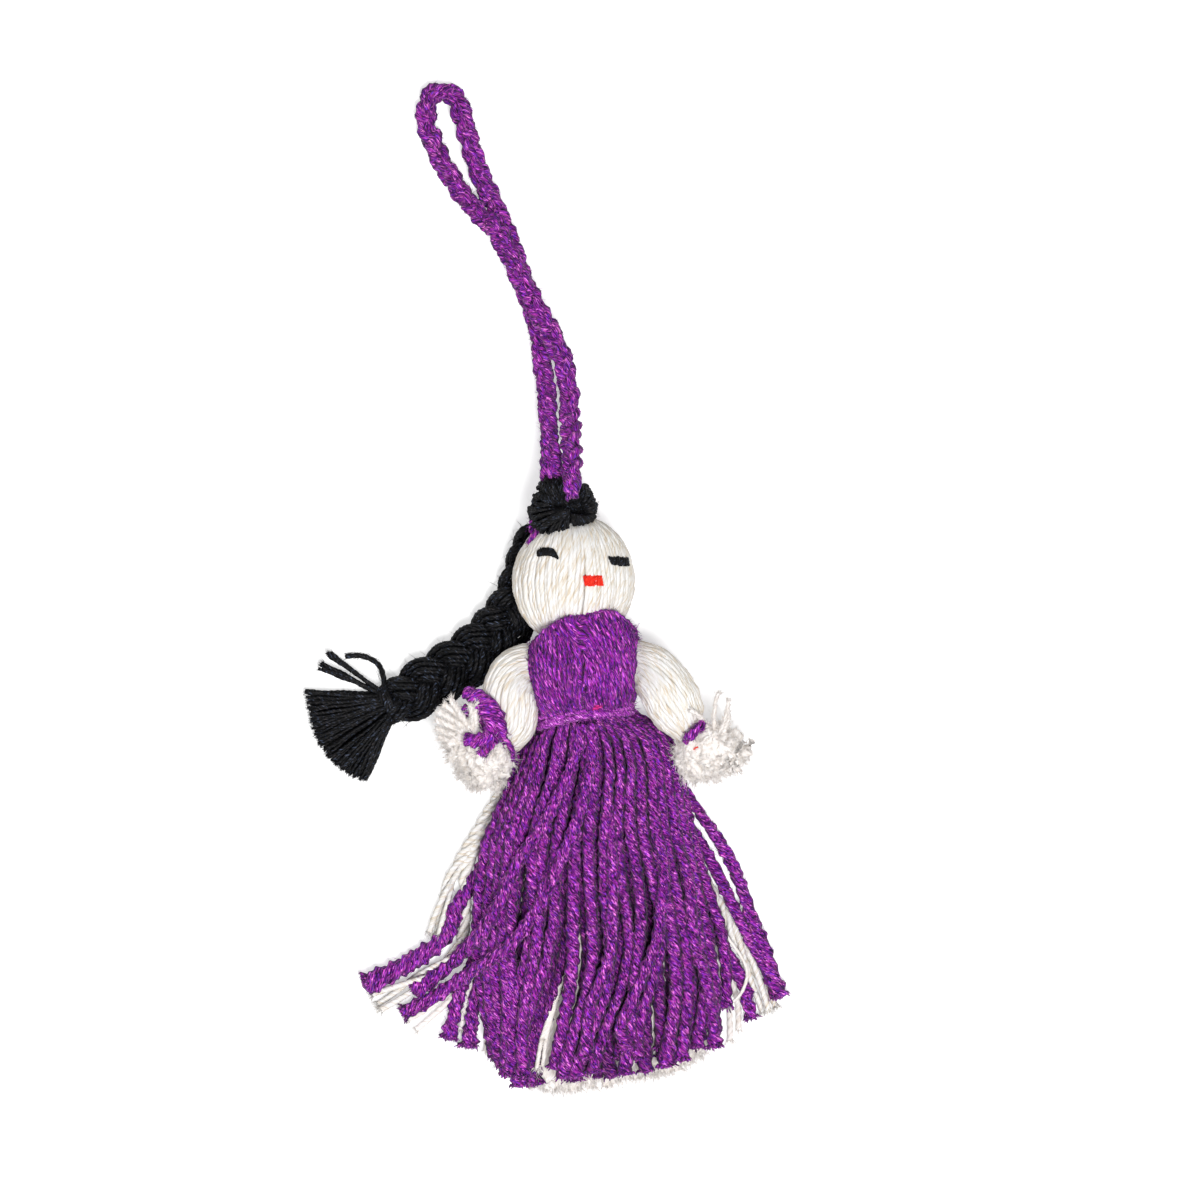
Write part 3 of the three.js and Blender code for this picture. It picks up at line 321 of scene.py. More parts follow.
def fibres(roots, directions, length, thickness=FIBRE, curl=0.45):
    """Fibres from their roots. Each goes along its direction and bends away by a random curl:
    root + length x (direction x s + bend x s^2), for s from 0 to 1."""
    count = len(roots)
    s = np.linspace(0, 1, len(FIBRE_TAPER))[:, None]
    bend = curl * unit(rng.normal(size=(count, 1, 3)))
    length = length * rng.uniform(0.35, 1, (count, 1, 1))
    paths = roots[:, None] + length * (unit(directions)[:, None] * s + bend * s**2)
    paths = off_table(paths, TABLE_CLEARANCE)
    return yarns(paths, thickness * FIBRE_TAPER, plies=1, groove=0, sides=3)


def fuzz(paths, radius, count, length, thickness=FIBRE, lift=0.7):
    """Loose fibres at random places all over some yarns, mostly along them."""
    tangent, side, up = frames_along(paths)
    m = rng.integers(len(paths), size=count)
    n = rng.integers(1, paths.shape[1] - 1, size=count)
    a = rng.uniform(0, TURN, (count, 1))
    outward = np.cos(a) * side[m, n] + np.sin(a) * up[m, n]
    along = tangent[m, n] * rng.choice([-1, 1], (count, 1))
    reach = np.broadcast_to(radius, paths.shape[:2])[m, n][:, None]
    directions = along + lift * rng.uniform(0.2, 1.4, (count, 1)) * outward
    roots = paths[m, n] + (1 - ROOT_DEPTH) * reach * outward
    return fibres(roots, directions, length, thickness)


def tufts(paths, radius, each, length, spread=0.5, thickness=FIBRE, end=-1):
    """The brush of fibres at one end of each yarn: `each` fibres that lean out by `spread`."""
    tangent, side, up = frames_along(paths)
    forward = tangent[:, end] * (1 if end else -1)
    count = len(paths) * each
    m = np.repeat(np.arange(len(paths)), each)
    a = rng.uniform(0, TURN, (count, 1))
    share = np.sqrt(rng.uniform(0, 1, (count, 1)))
    outward = np.cos(a) * side[m, end] + np.sin(a) * up[m, end]
    reach = np.broadcast_to(radius, paths.shape[:2])[m, end][:, None]
    roots = paths[m, end] + share * reach * outward - 0.25 * reach * forward[m]
    return fibres(roots, forward[m] + spread * share * outward, length, thickness, curl=0.35)


def hairy_yarns(paths, radius, hairs, brushes=(), **look):
    """Yarns, the brushes at their cut ends, and loose fibres all over them. `hairs` and each of the
    `brushes` are what fuzz and tufts are given after the radius, and `look` is the same for yarns."""
    shapes = [yarns(paths, radius, **look)]
    shapes += [tufts(paths, radius, *brush) for brush in brushes]
    if hairs:
        shapes.append(fuzz(paths, radius, *hairs))
    return joined(*shapes)


# %% [markdown]
# ## Materials
#
# A yarn is spun from fibres of many shades, so it looks speckled. Its flecks are the cells of a
# pattern read from the map "yarn", longer along the yarn than round it. Each cell has one random
# number for its hue and one for its brightness. Shade is painted into the colour: it darkens in
# grooves between plies, down the sides of lying yarns and on yarns under others.


# %%
class Nodes:
    """A material's node tree, with short calls to add and join nodes."""

    def __init__(self, material):
        material.use_nodes = True
        self.tree = material.node_tree
        self.shader = self.tree.nodes["Principled BSDF"]

    def feed(self, node, inputs):
        """Give a node's inputs their values, or join them to outputs of other nodes."""
        for name, value in inputs.items():
            if isinstance(value, bpy.types.NodeSocket):
                self.tree.links.new(value, node.inputs[name])
            else:
                node.inputs[name].default_value = value
        return node

    def add(self, kind, inputs=None, **settings):
        node = self.tree.nodes.new(kind)
        for name, value in settings.items():
            setattr(node, name, value)
        return self.feed(node, inputs or {})

    def math(self, operation, *values):
        return self.add("ShaderNodeMath", dict(enumerate(values)), operation=operation).outputs[0]

    def ramp(self, value, stops):
        node = self.add("ShaderNodeValToRGB", {"Fac": value})
        elements = node.color_ramp.elements
        while len(elements) < len(stops):
            elements.new(0.5)
        for element, (place, colour) in zip(elements, stops):
            element.position = place
            element.color = (*colour, 1)
        return node.outputs["Color"]

    def mix(self, factor, a, b, blend="MIX"):
        inputs = {0: factor, 6: a, 7: b}
        return self.add("ShaderNodeMix", inputs, data_type="RGBA", blend_type=blend).outputs[2]


TINT_APART = 50.0  # moves each yarn to its own part of the fleck pattern
PATCH_SCALE = 0.25  # patches of one hue are this much coarser than flecks
PATCH_WEIGHT = 0.8
RELIEF_HEIGHT = 0.0002


def yarn_material(
    name, stops, fleck=0.2, stretch=2.0, depth=0.5, groove=(0.6, 0.6, 0.6),
    roughness=0.9, sheen=0.1, bump=0.3, glow=0.0,
):
    """`stops` are the places and colours of the flecks. A fleck is `fleck` millimetres wide and
    `stretch` times as long. `depth` is the share by which it is lighter or darker than its colour.
    `groove` is the painted shade: what the colour is multiplied by in grooves between plies, down the
    sides of lying yarns and on yarns under others. `glow` is painted light, given off by the yarn
    itself in place of the light that thin fibres let through from behind."""
    material = bpy.data.materials.new(name)
    n = Nodes(material)
    place = n.add("ShaderNodeSeparateXYZ", {0: n.add("ShaderNodeUVMap", uv_map="yarn").outputs[0]})
    tint = n.add("ShaderNodeAttribute", attribute_name="tint").outputs["Fac"]
    rise_and_shade = n.add("ShaderNodeAttribute", attribute_name="rise_and_shade").outputs["Fac"]
    along = n.math("MULTIPLY", place.outputs["X"], 1.0 / stretch)
    apart = n.math("MULTIPLY", tint, TINT_APART)
    vector = n.add("ShaderNodeCombineXYZ", {0: along, 1: place.outputs["Y"], 2: apart}).outputs[0]
    cells = n.add("ShaderNodeTexVoronoi", {"Vector": vector, "Scale": 1.0 / fleck})
    random = n.add("ShaderNodeSeparateColor", {0: cells.outputs["Color"]})
    patches = n.add(
        "ShaderNodeTexNoise", {"Vector": vector, "Scale": PATCH_SCALE / fleck, "Detail": 1.0}
    ).outputs["Fac"]
    off_middle = n.math("SUBTRACT", patches, 0.5)
    hue = n.math("MULTIPLY_ADD", off_middle, PATCH_WEIGHT, random.outputs["Red"])
    colour = n.ramp(hue, stops)
    light = n.math("MULTIPLY_ADD", random.outputs["Green"], 2.0 * depth, 1.0 - depth)
    grey = n.add("ShaderNodeCombineColor", {0: light, 1: light, 2: light}).outputs[0]
    # Painted shade: the colour turns towards the groove colour where the painted light is low.
    shade = n.mix(rise_and_shade, (*groove, 1), (1, 1, 1, 1))
    paint = n.mix(1.0, n.mix(1.0, colour, grey, "MULTIPLY"), shade, "MULTIPLY")
    relief = n.add("ShaderNodeBump", {
        "Strength": bump, "Distance": RELIEF_HEIGHT, "Height": random.outputs["Green"],
    })
    n.feed(n.shader, {
        "Base Color": paint,
        "Normal": relief.outputs[0],
        "Roughness": roughness,
        "Specular IOR Level": 0.2,
        "Sheen Weight": sheen,
        "Sheen Roughness": 0.5,
    })
    # Painted light: the yarn gives off light of its own.
    if glow:
        n.feed(n.shader, {"Emission Color": paint, "Emission Strength": glow})
    return material


# Flecks of the purple yarn. The palest pink stop is a painted highlight, where fibres would catch the
# light.
PURPLE_FLECKS_AND_HIGHLIGHT = [
    (0.0, (0.015, 0.001, 0.04)),
    (0.18, (0.09, 0.004, 0.17)),
    (0.36, (0.18, 0.008, 0.22)),
    (0.52, (0.33, 0.018, 0.34)),
    (0.62, (0.12, 0.02, 0.46)),
    (0.74, (0.38, 0.03, 0.28)),
    (0.88, (0.46, 0.09, 0.56)),
    (1.0, (0.72, 0.17, 0.6)),
]
# The bodice is the same yarn as the skirt: these are the purple flecks made lighter and a little bluer, as
# painted light on the bodice.
BODICE_LIT_FLECKS = [(at, (1.15 * r, g, 1.2 * b)) for at, (r, g, b) in PURPLE_FLECKS_AND_HIGHLIGHT]
PINK_FLECKS = [
    (0.0, (0.12, 0.006, 0.22)),
    (0.4, (0.34, 0.03, 0.4)),
    (0.65, (0.52, 0.07, 0.6)),
    (0.85, (0.72, 0.14, 0.7)),
    (1.0, (0.9, 0.36, 0.9)),
]
MAGENTA_FLECKS = [
    (0.0, (0.5, 0.005, 0.16)),
    (1.0, (0.95, 0.06, 0.45)),
]
CREAM_FLECKS = [
    (0.0, (0.7, 0.61, 0.49)),
    (0.25, (0.78, 0.75, 0.7)),
    (0.55, (0.82, 0.815, 0.81)),
    (1.0, (0.87, 0.87, 0.88)),
]
FLUFF_FLECKS = [
    (0.0, (0.66, 0.61, 0.56)),
    (0.4, (0.72, 0.68, 0.655)),
    (1.0, (0.78, 0.76, 0.75)),
]
# The two palest stops, brownish and bluish, are painted glints where fibres would catch the light.
BLACK_FLECKS_AND_GLINTS = [
    (0.0, (0.001, 0.001, 0.001)),
    (0.6, (0.003, 0.003, 0.004)),
    (0.82, (0.008, 0.009, 0.013)),
    (0.92, (0.035, 0.028, 0.026)),
    (1.0, (0.06, 0.08, 0.13)),
]
RED_FLECKS = [
    (0.0, (0.7, 0.012, 0.006)),
    (0.5, (0.92, 0.03, 0.016)),
    (1.0, (1.0, 0.08, 0.04)),
]
purple = yarn_material(
    "purple_acrylic", PURPLE_FLECKS_AND_HIGHLIGHT, depth=0.8, groove=(0.12, 0.12, 0.12), bump=0.5
)
# The bodice's purple: its longer streaks are the yarn's own, and its lighter colour is painted light.
lit_bodice_purple = yarn_material(
    "purple_acrylic_drawn_lit", BODICE_LIT_FLECKS,
    fleck=0.16, stretch=5, depth=0.65, groove=(0.1, 0.1, 0.1), bump=0.5,
)
pink = yarn_material("purple_acrylic_paler", PINK_FLECKS, depth=0.6, bump=0.5)
magenta = yarn_material("magenta_fibres", MAGENTA_FLECKS, bump=0.5)
# The tan that cream yarns turn to in grooves and down their sides is painted shade.
cream = yarn_material(
    "cream_cotton_yarn", CREAM_FLECKS,
    fleck=0.25, stretch=9, depth=0.04, groove=(0.82, 0.76, 0.67), bump=0.15,
)
# The cut cotton glows with painted light of its own, which brightens its shaded fibres.
fluff = yarn_material(
    "cream_cotton_cut", FLUFF_FLECKS,
    fleck=0.4, stretch=4, depth=0.05, groove=(0.95, 0.92, 0.89), bump=0.15, glow=0.21,
)
black = yarn_material(
    "black_acrylic", BLACK_FLECKS_AND_GLINTS,
    fleck=0.16, stretch=3, depth=0.6, groove=(0.3, 0.3, 0.3), roughness=0.6, sheen=0.0,
)
red = yarn_material(
    "red_embroidery", RED_FLECKS,
    fleck=0.15, stretch=3, depth=0.15, groove=(0.8, 0.8, 0.8), roughness=0.8, sheen=0.0,
)
print("materials", len(bpy.data.materials))

# %% [markdown]
# ## Making a piece


# %%
def make_piece(name, shape, material, body, slot, *nodes, bend=None):
    """A Blender object from a shape in millimetres. It rides on a CAD body, and stands for nodes.
    Given `bend`, it is not put on the body: its place is baked into its mesh, and the body and
    points that `bend` holds are not used."""
    mesh = bpy.data.meshes.new(name)
    quads, tris = shape["quads"], shape["tris"]
    corners = np.concatenate([quads.reshape(-1), tris.reshape(-1)]).astype(np.int32)
    sizes = np.concatenate([np.full(len(quads), 4), np.full(len(tris), 3)]).astype(np.int32)
    starts = np.concatenate([[0], np.cumsum(sizes)[:-1]]).astype(np.int32)
    mesh.vertices.add(len(shape["co"]))
    mesh.vertices.foreach_set("co", (shape["co"] * MM).astype(np.float32).ravel())
    mesh.loops.add(len(corners))
    mesh.loops.foreach_set("vertex_index", corners)
    mesh.polygons.add(len(sizes))
    mesh.polygons.foreach_set("loop_start", starts)
    mesh.polygons.foreach_set("loop_total", sizes)
    mesh.update(calc_edges=True)
    mesh.uv_layers.new(name="yarn").data.foreach_set("uv", shape["uv"].astype(np.float32).ravel())
    for key in ("tint", "rise_and_shade"):
        attribute = mesh.attributes.new(key, "FLOAT", "POINT")
        attribute.data.foreach_set("value", shape[key].astype(np.float32))
    mesh.shade_smooth()
    mesh.materials.append(material)
    piece = bpy.data.objects.new(name, mesh)
    bpy.context.scene.collection.objects.link(piece)
    if bend:
        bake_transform(piece)
    else:
        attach(piece, body)
    if nodes:
        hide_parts(*nodes)
    print(name.ljust(26), "triangles", 2 * len(quads) + len(tris))
    return piece


# %% [markdown]
# ## Hanging loop
#
# The cord is a flat plait of three purple yarns. Its route repeats the CAD model's points. Each yarn
# swings to the side as sin t and over and under as sin 2t, a third of a turn after the one before.

# %%
LOOP_ROUTE = [
    [1.1, 42.9, 13.4], [1.4, 44.8, 12.9], [1.6, 47.4, 11.2], [1.8, 50.6, 8.6], [1.9, 54, 6.1],
    [2.1, 58, 4.3], [1.8, 63, 4.2], [0.4, 68.3, 5.3], [-1.7, 73.2, 5.6], [-3.6, 77.6, 5.6],
    [-5.2, 81.6, 5.6], [-6.5, 85.4, 5.6], [-8.3, 89.2, 5.2], [-10.8, 92.2, 4], [-12.9, 95.2, 2.2],
    [-15.4, 99.6, 1.7], [-18, 105.8, 1.7], [-18.9, 110.4, 1.7], [-18.2, 113.8, 1.7],
    [-15.8, 115.3, 1.7], [-13.2, 113.8, 1.7], [-12.2, 110.2, 1.7], [-11.4, 105.2, 1.7],
    [-10.2, 99.6, 1.7], [-8.5, 95, 1.7], [-7.1, 90.6, 1.7], [-5.6, 85.4, 1.7], [-4.4, 80.2, 1.7],
    [-3.2, 74.6, 1.7], [-2.3, 68.8, 1.7], [-2, 63.4, 1.7], [-1.9, 58.4, 2.9], [-2, 54.2, 4.8],
    [-2.1, 50.6, 6.9], [-2.3, 47.4, 8.9], [-2.4, 44.8, 10.1], [-2.4, 42.9, 10.5],
]
LOOP_PERIOD = 9.6
LOOP_SWING = 0.82
LOOP_OVER = 0.5
LOOP_YARN = 0.84
PAIR = 0.56  # each strand is two yarns twisted together, this far from its middle
PAIR_PITCH = 9.0
CORD_LOOK = {"plies": 2, "pitch": 3.6, "groove": 0.24, "sides": 10, "hand": -1, "lumps": 0.16}


def plaited(route, period, swing, over):
    """Three strands plaited along a route. At the share t of a period, a strand is swing x sin t to
    the side and over x sin 2t up, a third of a period after the one before."""
    along = np.gradient(route, axis=0)
    side = unit(np.cross(along, [0, 0, 1]))
    up = unit(np.cross(side, along))
    run = lengths_along(route[None])[0]
    paths = []
    for which in range(3):
        t = TURN * (run / period + which / 3)
        sideways, upwards = swing * np.sin(t), over * np.sin(2 * t)
        paths.append(route + sideways[:, None] * side + upwards[:, None] * up)
    return np.array(paths)


def cord_yarns(route):
    """The cord's yarns along a route, kept on the table."""
    strands = plaited(route, LOOP_PERIOD, LOOP_SWING, LOOP_OVER)
    return off_table(plied(strands, PAIR, 2, PAIR_PITCH), LOOP_YARN)


loop_route = smooth(LOOP_ROUTE, 460)
loop_shape = hairy_yarns(cord_yarns(loop_route), LOOP_YARN, (2600, 1.1), **CORD_LOOK)
hanging_cord = make_piece("hanging_cord", loop_shape, purple, "loop_body", "purple_yarn", "hanging_loop")

# %% [markdown]
# ## Gown
#
# One purple hank is folded over the neck and bound at the waist: above the tie it is the bodice, and
# below it the skirt. A yarn of the hank keeps its own angle round the body, from 0 at the viewer's
# right through a quarter turn in front to a half turn at the left.

# %%
FOOT = box_mm("skirt_front")[0][2]
SKIRT_LENGTH = 63
SKIRT_WIDTH = 44
SKIRT_DEPTH = 10.6
CHEST_WIDTH = 20.2
CHEST_DEPTH = 20.4
COLLAR_HEIGHT = 18.0
COLLAR_LEAN = 3.9
COLLAR_DROPS = (2.6, 9.0)  # left of the collar's peak, and right of it
YARN_RADIUS = 1.2
WAIST_YARN_RADIUS = 0.74

# Shares of the way down, then half-width, height and drift to the left, as shares of the hem's.
SKIRT_SHARES = np.array([
    [0, 0.44, 1.27, 0.0],
    [0.08, 0.63, 1.36, -0.015],
    [0.155, 0.71, 1.35, -0.01],
    [0.24, 0.78, 1.31, 0.02],
    [0.34, 0.87, 1.25, 0.048],
    [0.5, 0.97, 1.15, 0.056],
    [0.64, 1.04, 1.08, 0.055],
    [0.8, 1.03, 1.03, 0.038],
    [1, 0.96, 1.0, 0.034],
])
# Shares of the way up, then half-width and height as shares of the chest's.
BODICE_SHARES = np.array([
    [0, 0.92, 0.686],
    [0.2, 0.95, 0.8],
    [0.45, 0.99, 0.92],
    [0.7, 0.98, 0.98],
    [0.88, 0.92, 1],
    [1, 0.84, 0.98],
])


def skirt_outline(v):
    """Middle, half-width and height of the skirt at the share v of its length."""
    half, high, leftwards = columns_at(SKIRT_SHARES, v)
    return -SKIRT_WIDTH * leftwards, SKIRT_WIDTH / 2 * half, SKIRT_DEPTH * high


def bodice_outline(v):
    """Half-width and height of the bodice at the share v of its height."""
    half, high = columns_at(BODICE_SHARES, v)
    return CHEST_WIDTH / 2 * half, CHEST_DEPTH * high


PINCH_DEPTH = 1.2
PINCH_REACH = 2.2


def pinch(y):
    """How far the waist tie presses the hank in, at a height from the waist."""
    return PINCH_DEPTH * np.exp(-((y / PINCH_REACH) ** 2))


# The skirt parts at an angle of its own, which grows towards the hem.
PARTING = np.array([
    [0, 98],
    [0.3, 98],
    [0.57, 100.5],
    [0.67, 104],
    [0.79, 113],
    [1, 133],
])
PARTED = np.radians(PARTING[0, 1])
OPENING = 0.19  # how far the yarns beside the parting draw apart at the hem
OPENS_FROM = 0.58
BESIDE = 0.3  # within about this angle of the parting, yarns are beside it
CALM = 0.85  # and lose this share of their sway
ABOVE_WAIST = 0.8


def parting(share):
    """The angle at which the hank parts. Yarns keep to their side of it."""
    return np.radians(columns_at(PARTING, share)[0])


def skirt_paths(angles, ends, depth, points, sway):
    """Yarns of the skirt's front, from the waist to their own ends. `depth` is how far their paths
    lie under the hank's surface."""
    count = len(angles)
    v = np.linspace(0, 1, points)[None]
    y = ABOVE_WAIST + (-ends[:, None] - ABOVE_WAIST) * v
    share = np.clip(-y / SKIRT_LENGTH, 0, 1.05)
    middle, half, high = skirt_outline(share)
    line = parting(share)
    angle = angles[:, None]
    left = angle > PARTED
    drawn_left = np.pi - (np.pi - angle) * (np.pi - line) / (np.pi - PARTED)
    angle = np.where(left, drawn_left, angle * line / PARTED)
    beside = np.exp(-(((angle - line) / BESIDE) ** 2))
    opening = OPENING * np.clip((share - OPENS_FROM) / (1 - OPENS_FROM), 0, 1) * beside
    angle = angle + np.where(left, opening, -opening)
    swayed = (waves(count, v, sway) + drift(angle, v, 0.5 * sway)) * share
    angle = angle + swayed * (1 - CALM * beside)
    inner = depth[:, None] + pinch(y) + waves(count, v, 0.4) * share
    x = middle + (half - inner) * np.cos(angle)
    z = FOOT + (high - FOOT - inner) * np.sin(angle)
    return np.stack([x, y, z], axis=-1)


FLARES_FROM = 0.9


def tapered(points, narrow, wide, start=0.02, end=0.3, flare=0.35):
    """A radius for each point: narrow at the tie, wide once the yarns are free, and wider again at
    the cut end."""
    v = np.linspace(0, 1, points)
    share = np.clip((v - start) / (end - start), 0, 1)
    cut = np.clip((v - FLARES_FROM) / (1 - FLARES_FROM), 0, 1)
    return (narrow + (wide - narrow) * share * share * (3 - 2 * share)) * (1 + flare * cut)


# Each layer of the skirt's front: yarns, least and most depth, rings, sides, sway, painted light (less
# on the layers underneath, as painted shade), and the fibres at each cut end.
LAYERS = [
    (19, 0.0, 1.0, 116, 14, 0.06, 1.0, 40),
    (22, 2.5, 3.2, 76, 10, 0.09, 0.6, 18),
    (22, 3.9, 4.5, 40, 8, 0.06, 0.3, 18),
]
SKIRT_LOOK = {"pitch": 7.5, "hand": -1, "groove": 0.26, "lumps": 0.13}
COARSE_BRUSH = (1.15, 1.2, 0.27)  # length, spread and thickness of the coarse bits of a cut end
HALF_FAN = 43
skirt_parts = []
for count, shallow, deep, rings, sides, sway, lit, brush in LAYERS:
    across = np.linspace(1, -1, count)
    angles = np.radians(90 - HALF_FAN * across) - 0.5 * np.arcsin(0.985 * across)
    angles = angles + rng.uniform(-0.035, 0.035, count)
    side_rise = 6.0 * np.cos(angles) ** 6 + 1.5 * np.clip(np.cos(angles), 0, 1) ** 2
    ends = SKIRT_LENGTH + 1.0 + rng.uniform(-2.4, 1.6, count) - side_rise
    depth = rng.uniform(shallow, deep, count)
    paths = skirt_paths(angles, ends, depth, rings, sway)
    radius = tapered(rings, WAIST_YARN_RADIUS, YARN_RADIUS) * rng.uniform(0.9, 1.1, (count, 1))
    hairs = (40 * count, 1.5) if shallow == 0 else None
    brushes = [(brush, 1.2, 1.0), (14 + brush // 4, *COARSE_BRUSH)]
    look = {**SKIRT_LOOK, "sides": sides, "flank": 0.85, "lit": lit}
    skirt_parts.append(hairy_yarns(paths, radius, hairs, brushes, **look))


SMOOTHED = 9  # heights are the mean over this many points to each side
DIVE_END = 1 / 6  # the share of a yarn's length in which it comes out of the hank


def lying_height(route, radius, dive=1.6):
    """How high a yarn lies at each point: on the skirt's front, or on the table beside it. It comes
    out of the hank at its start, from the depth `dive`."""
    share = np.clip(-route[:, 1] / SKIRT_LENGTH, 0, 1)
    middle, half, high = skirt_outline(share)
    across = np.clip((route[:, 0] - middle) / (half + radius), -1, 1)
    over = FOOT + (high - FOOT + 0.9 * radius) * np.sqrt(1 - across**2)
    height = np.where(np.abs(across) < 1, np.maximum(over, radius), radius)
    padded = np.r_[[height[0]] * SMOOTHED, height, [height[-1]] * SMOOTHED]
    window = np.ones(2 * SMOOTHED + 1) / (2 * SMOOTHED + 1)
    height = np.maximum(np.convolve(padded, window, "valid"), radius)
    out = np.clip(np.linspace(0, 1 / DIVE_END, len(route)), 0, 1)
    return height - (1 - out) * dive


# Four yarns of the front cross over their neighbours.
CROSSING = [
    [
        (9.6, -18.0), (11.0, -27.1), (10.1, -34.2), (8.2, -41.8), (5.0, -47.9), (2.3, -52.8),
        (0.4, -56.4), (1.4, -60.0),
    ],
    [(2.4, -16.0), (1.9, -26.2), (1.1, -34.8), (-0.3, -43.3), (-2.8, -48.3), (-5.0, -53.0), (-6.2, -61.0)],
    [(-8.4, -24.0), (-11.6, -32.0), (-13.2, -40.0), (-15.6, -48.0), (-17.4, -56.0), (-17.8, -63.6)],
    [(13.0, -22.0), (15.2, -31.0), (15.0, -41.0), (16.8, -51.0), (17.2, -61.6)],
]
CROSSING_POINTS = 110
CROSSING_DIVE = 2.6
crossing_paths = np.array([laid(points, 0, CROSSING_POINTS) for points in CROSSING])
for path in crossing_paths:
    path[:, 2] = lying_height(path, YARN_RADIUS, CROSSING_DIVE)
crossing_radius = tapered(CROSSING_POINTS, 0.9, YARN_RADIUS, flare=0.3)
skirt_parts.append(hairy_yarns(
    crossing_paths, crossing_radius, (300, 1.5), [(40, 1.2, 0.9), (28, *COARSE_BRUSH)],
    pitch=8.5, sides=14, hand=-1, groove=0.28, lumps=0.14, flank=0.7,
))
make_piece("skirt_front_yarns", joined(*skirt_parts), purple, "gown_body", "purple_yarn", "skirt_front")

# The back hank lies flat on the table. Two of its yarns come out past the skirt's right edge.
BACK_YARNS = 20
BACK_POINTS = 60
BACK_INSET = 3.8
back_v = np.linspace(0, 1, BACK_POINTS)[None]
back_across = np.linspace(-1, 1, BACK_YARNS)[:, None]
back_y = -(SKIRT_LENGTH + rng.uniform(-2.5, 1, (BACK_YARNS, 1))) * back_v
back_middle, back_half, _ = skirt_outline(back_v)
back_x = back_middle + back_across * (back_half - BACK_INSET)
back_x = back_x + waves(BACK_YARNS, back_v, 0.8) * back_v
back_z = YARN_RADIUS + 0.05 + 0.6 * rng.uniform(0, 1, (BACK_YARNS, 1)) * np.ones_like(back_v)
back_paths = np.stack([back_x, back_y, back_z], axis=-1)
back_radius = tapered(BACK_POINTS, WAIST_YARN_RADIUS, YARN_RADIUS)
STRAYS = [
    [
        (7.0, -6.0, 1.2), (12.5, -15.4, 1.2), (16.6, -22.4, 1.2), (20.3, -30.0, 1.2),
        (24.4, -41.1, 1.2), (28.4, -50.8, 1.2),
    ],
    [(7.5, -16.0, 1.2), (13.6, -28.0, 1.2), (18.6, -38.6, 1.2), (21.6, -47.6, 1.2), (24.4, -53.4, 1.2)],
]
stray_paths = np.array([smooth(points, 90) for points in STRAYS])
back_shape = joined(
    yarns(back_paths, back_radius, pitch=7.5, sides=9, hand=-1),
    tufts(back_paths, YARN_RADIUS, 20, 1.0),
    hairy_yarns(stray_paths, YARN_RADIUS, (120, 1.4), [(46, 1.0, 0.8)], sides=14, **SKIRT_LOOK),
)
make_piece("skirt_back_yarns", back_shape, purple, "gown_body", "purple_yarn", "skirt_back")

# %% [markdown]
# The underskirt's cream ends show under the hem and through the parting.

# %%
UNDERSKIRT_YARNS = 110
UNDERSKIRT_POINTS = 60
UNDERSKIRT_FLOOR = 3.5
# How far it lies inside the skirt, at the sides and in front.
UNDERSKIRT_INSET = 4.6
UNDERSKIRT_DEPTH = 4.4
COTTON_RADIUS = 0.78
layer = rng.uniform(0, 1, (UNDERSKIRT_YARNS, 1))
cream_v = np.linspace(0, 1, UNDERSKIRT_POINTS)[None]
cream_angle = np.radians(np.linspace(8, 172, UNDERSKIRT_YARNS))[:, None]
cream_angle = cream_angle + waves(UNDERSKIRT_YARNS, cream_v, 0.08) * cream_v
cream_lean = np.cos(cream_angle[:, -1:])
cream_ends = SKIRT_LENGTH + 2.6 - 1.2 * cream_lean - 3.5 * cream_lean**4
cream_ends = cream_ends + rng.uniform(-1.8, 1.4, (UNDERSKIRT_YARNS, 1))
cream_y = -cream_ends * cream_v
cream_middle, cream_half, cream_high = skirt_outline(np.clip(-cream_y / SKIRT_LENGTH, 0, 1))
cream_x = cream_middle + (cream_half - UNDERSKIRT_INSET) * np.cos(cream_angle)
cream_depth = cream_high - UNDERSKIRT_FLOOR - UNDERSKIRT_DEPTH
cream_z = UNDERSKIRT_FLOOR + cream_depth * (0.25 + 0.75 * layer) * np.sin(cream_angle)
cream_paths = np.stack([cream_x, cream_y, cream_z], axis=-1)
# Loose cream ends: six on the table, one over the right edge and three in the parting.
CREAM_STRAYS = [
    [(-21.0, -38.0), (-26.4, -44.4), (-30.3, -47.9), (-34.6, -50.6), (-37.9, -52.0)],
    [(-20.4, -38.0), (-26.0, -45.2), (-30.0, -49.2), (-34.0, -52.2), (-36.6, -54.0)],
    [(-20.0, -36.0), (-24.2, -43.0), (-27.0, -49.0), (-28.6, -54.8)],
    [(-19.4, -44.0), (-22.4, -51.0), (-23.6, -56.0), (-24.4, -59.0)],
    [(17.0, -40.0), (20.4, -48.0), (22.0, -54.0), (21.8, -59.6)],
    [(16.4, -42.0), (19.6, -50.0), (20.4, -56.0), (20.0, -61.4)],
    [(21.0, -42.0), (23.6, -46.6), (24.2, -49.6), (22.8, -52.8), (20.4, -54.8)],
    [(-7.4, -38.0), (-7.6, -43.0), (-9.4, -47.0), (-11.8, -52.0), (-13.4, -57.4)],
    [(-8.0, -42.0), (-9.2, -46.6), (-11.0, -51.6), (-13.0, -57.0), (-14.2, -62.2)],
    [(-9.0, -45.0), (-11.4, -51.6), (-13.8, -57.0), (-15.4, -62.6)],
]
STRAY_HEIGHTS = [0.75] * 6 + [3.35] + [7.4] * 3
STRAY_RADII = [0.6] * 6 + [0.34] + [0.45] * 3
cream_strays = np.array([laid(points, z, 50) for points, z in zip(CREAM_STRAYS, STRAY_HEIGHTS)])
cream_radius = tapered(UNDERSKIRT_POINTS, 0.5, COTTON_RADIUS)
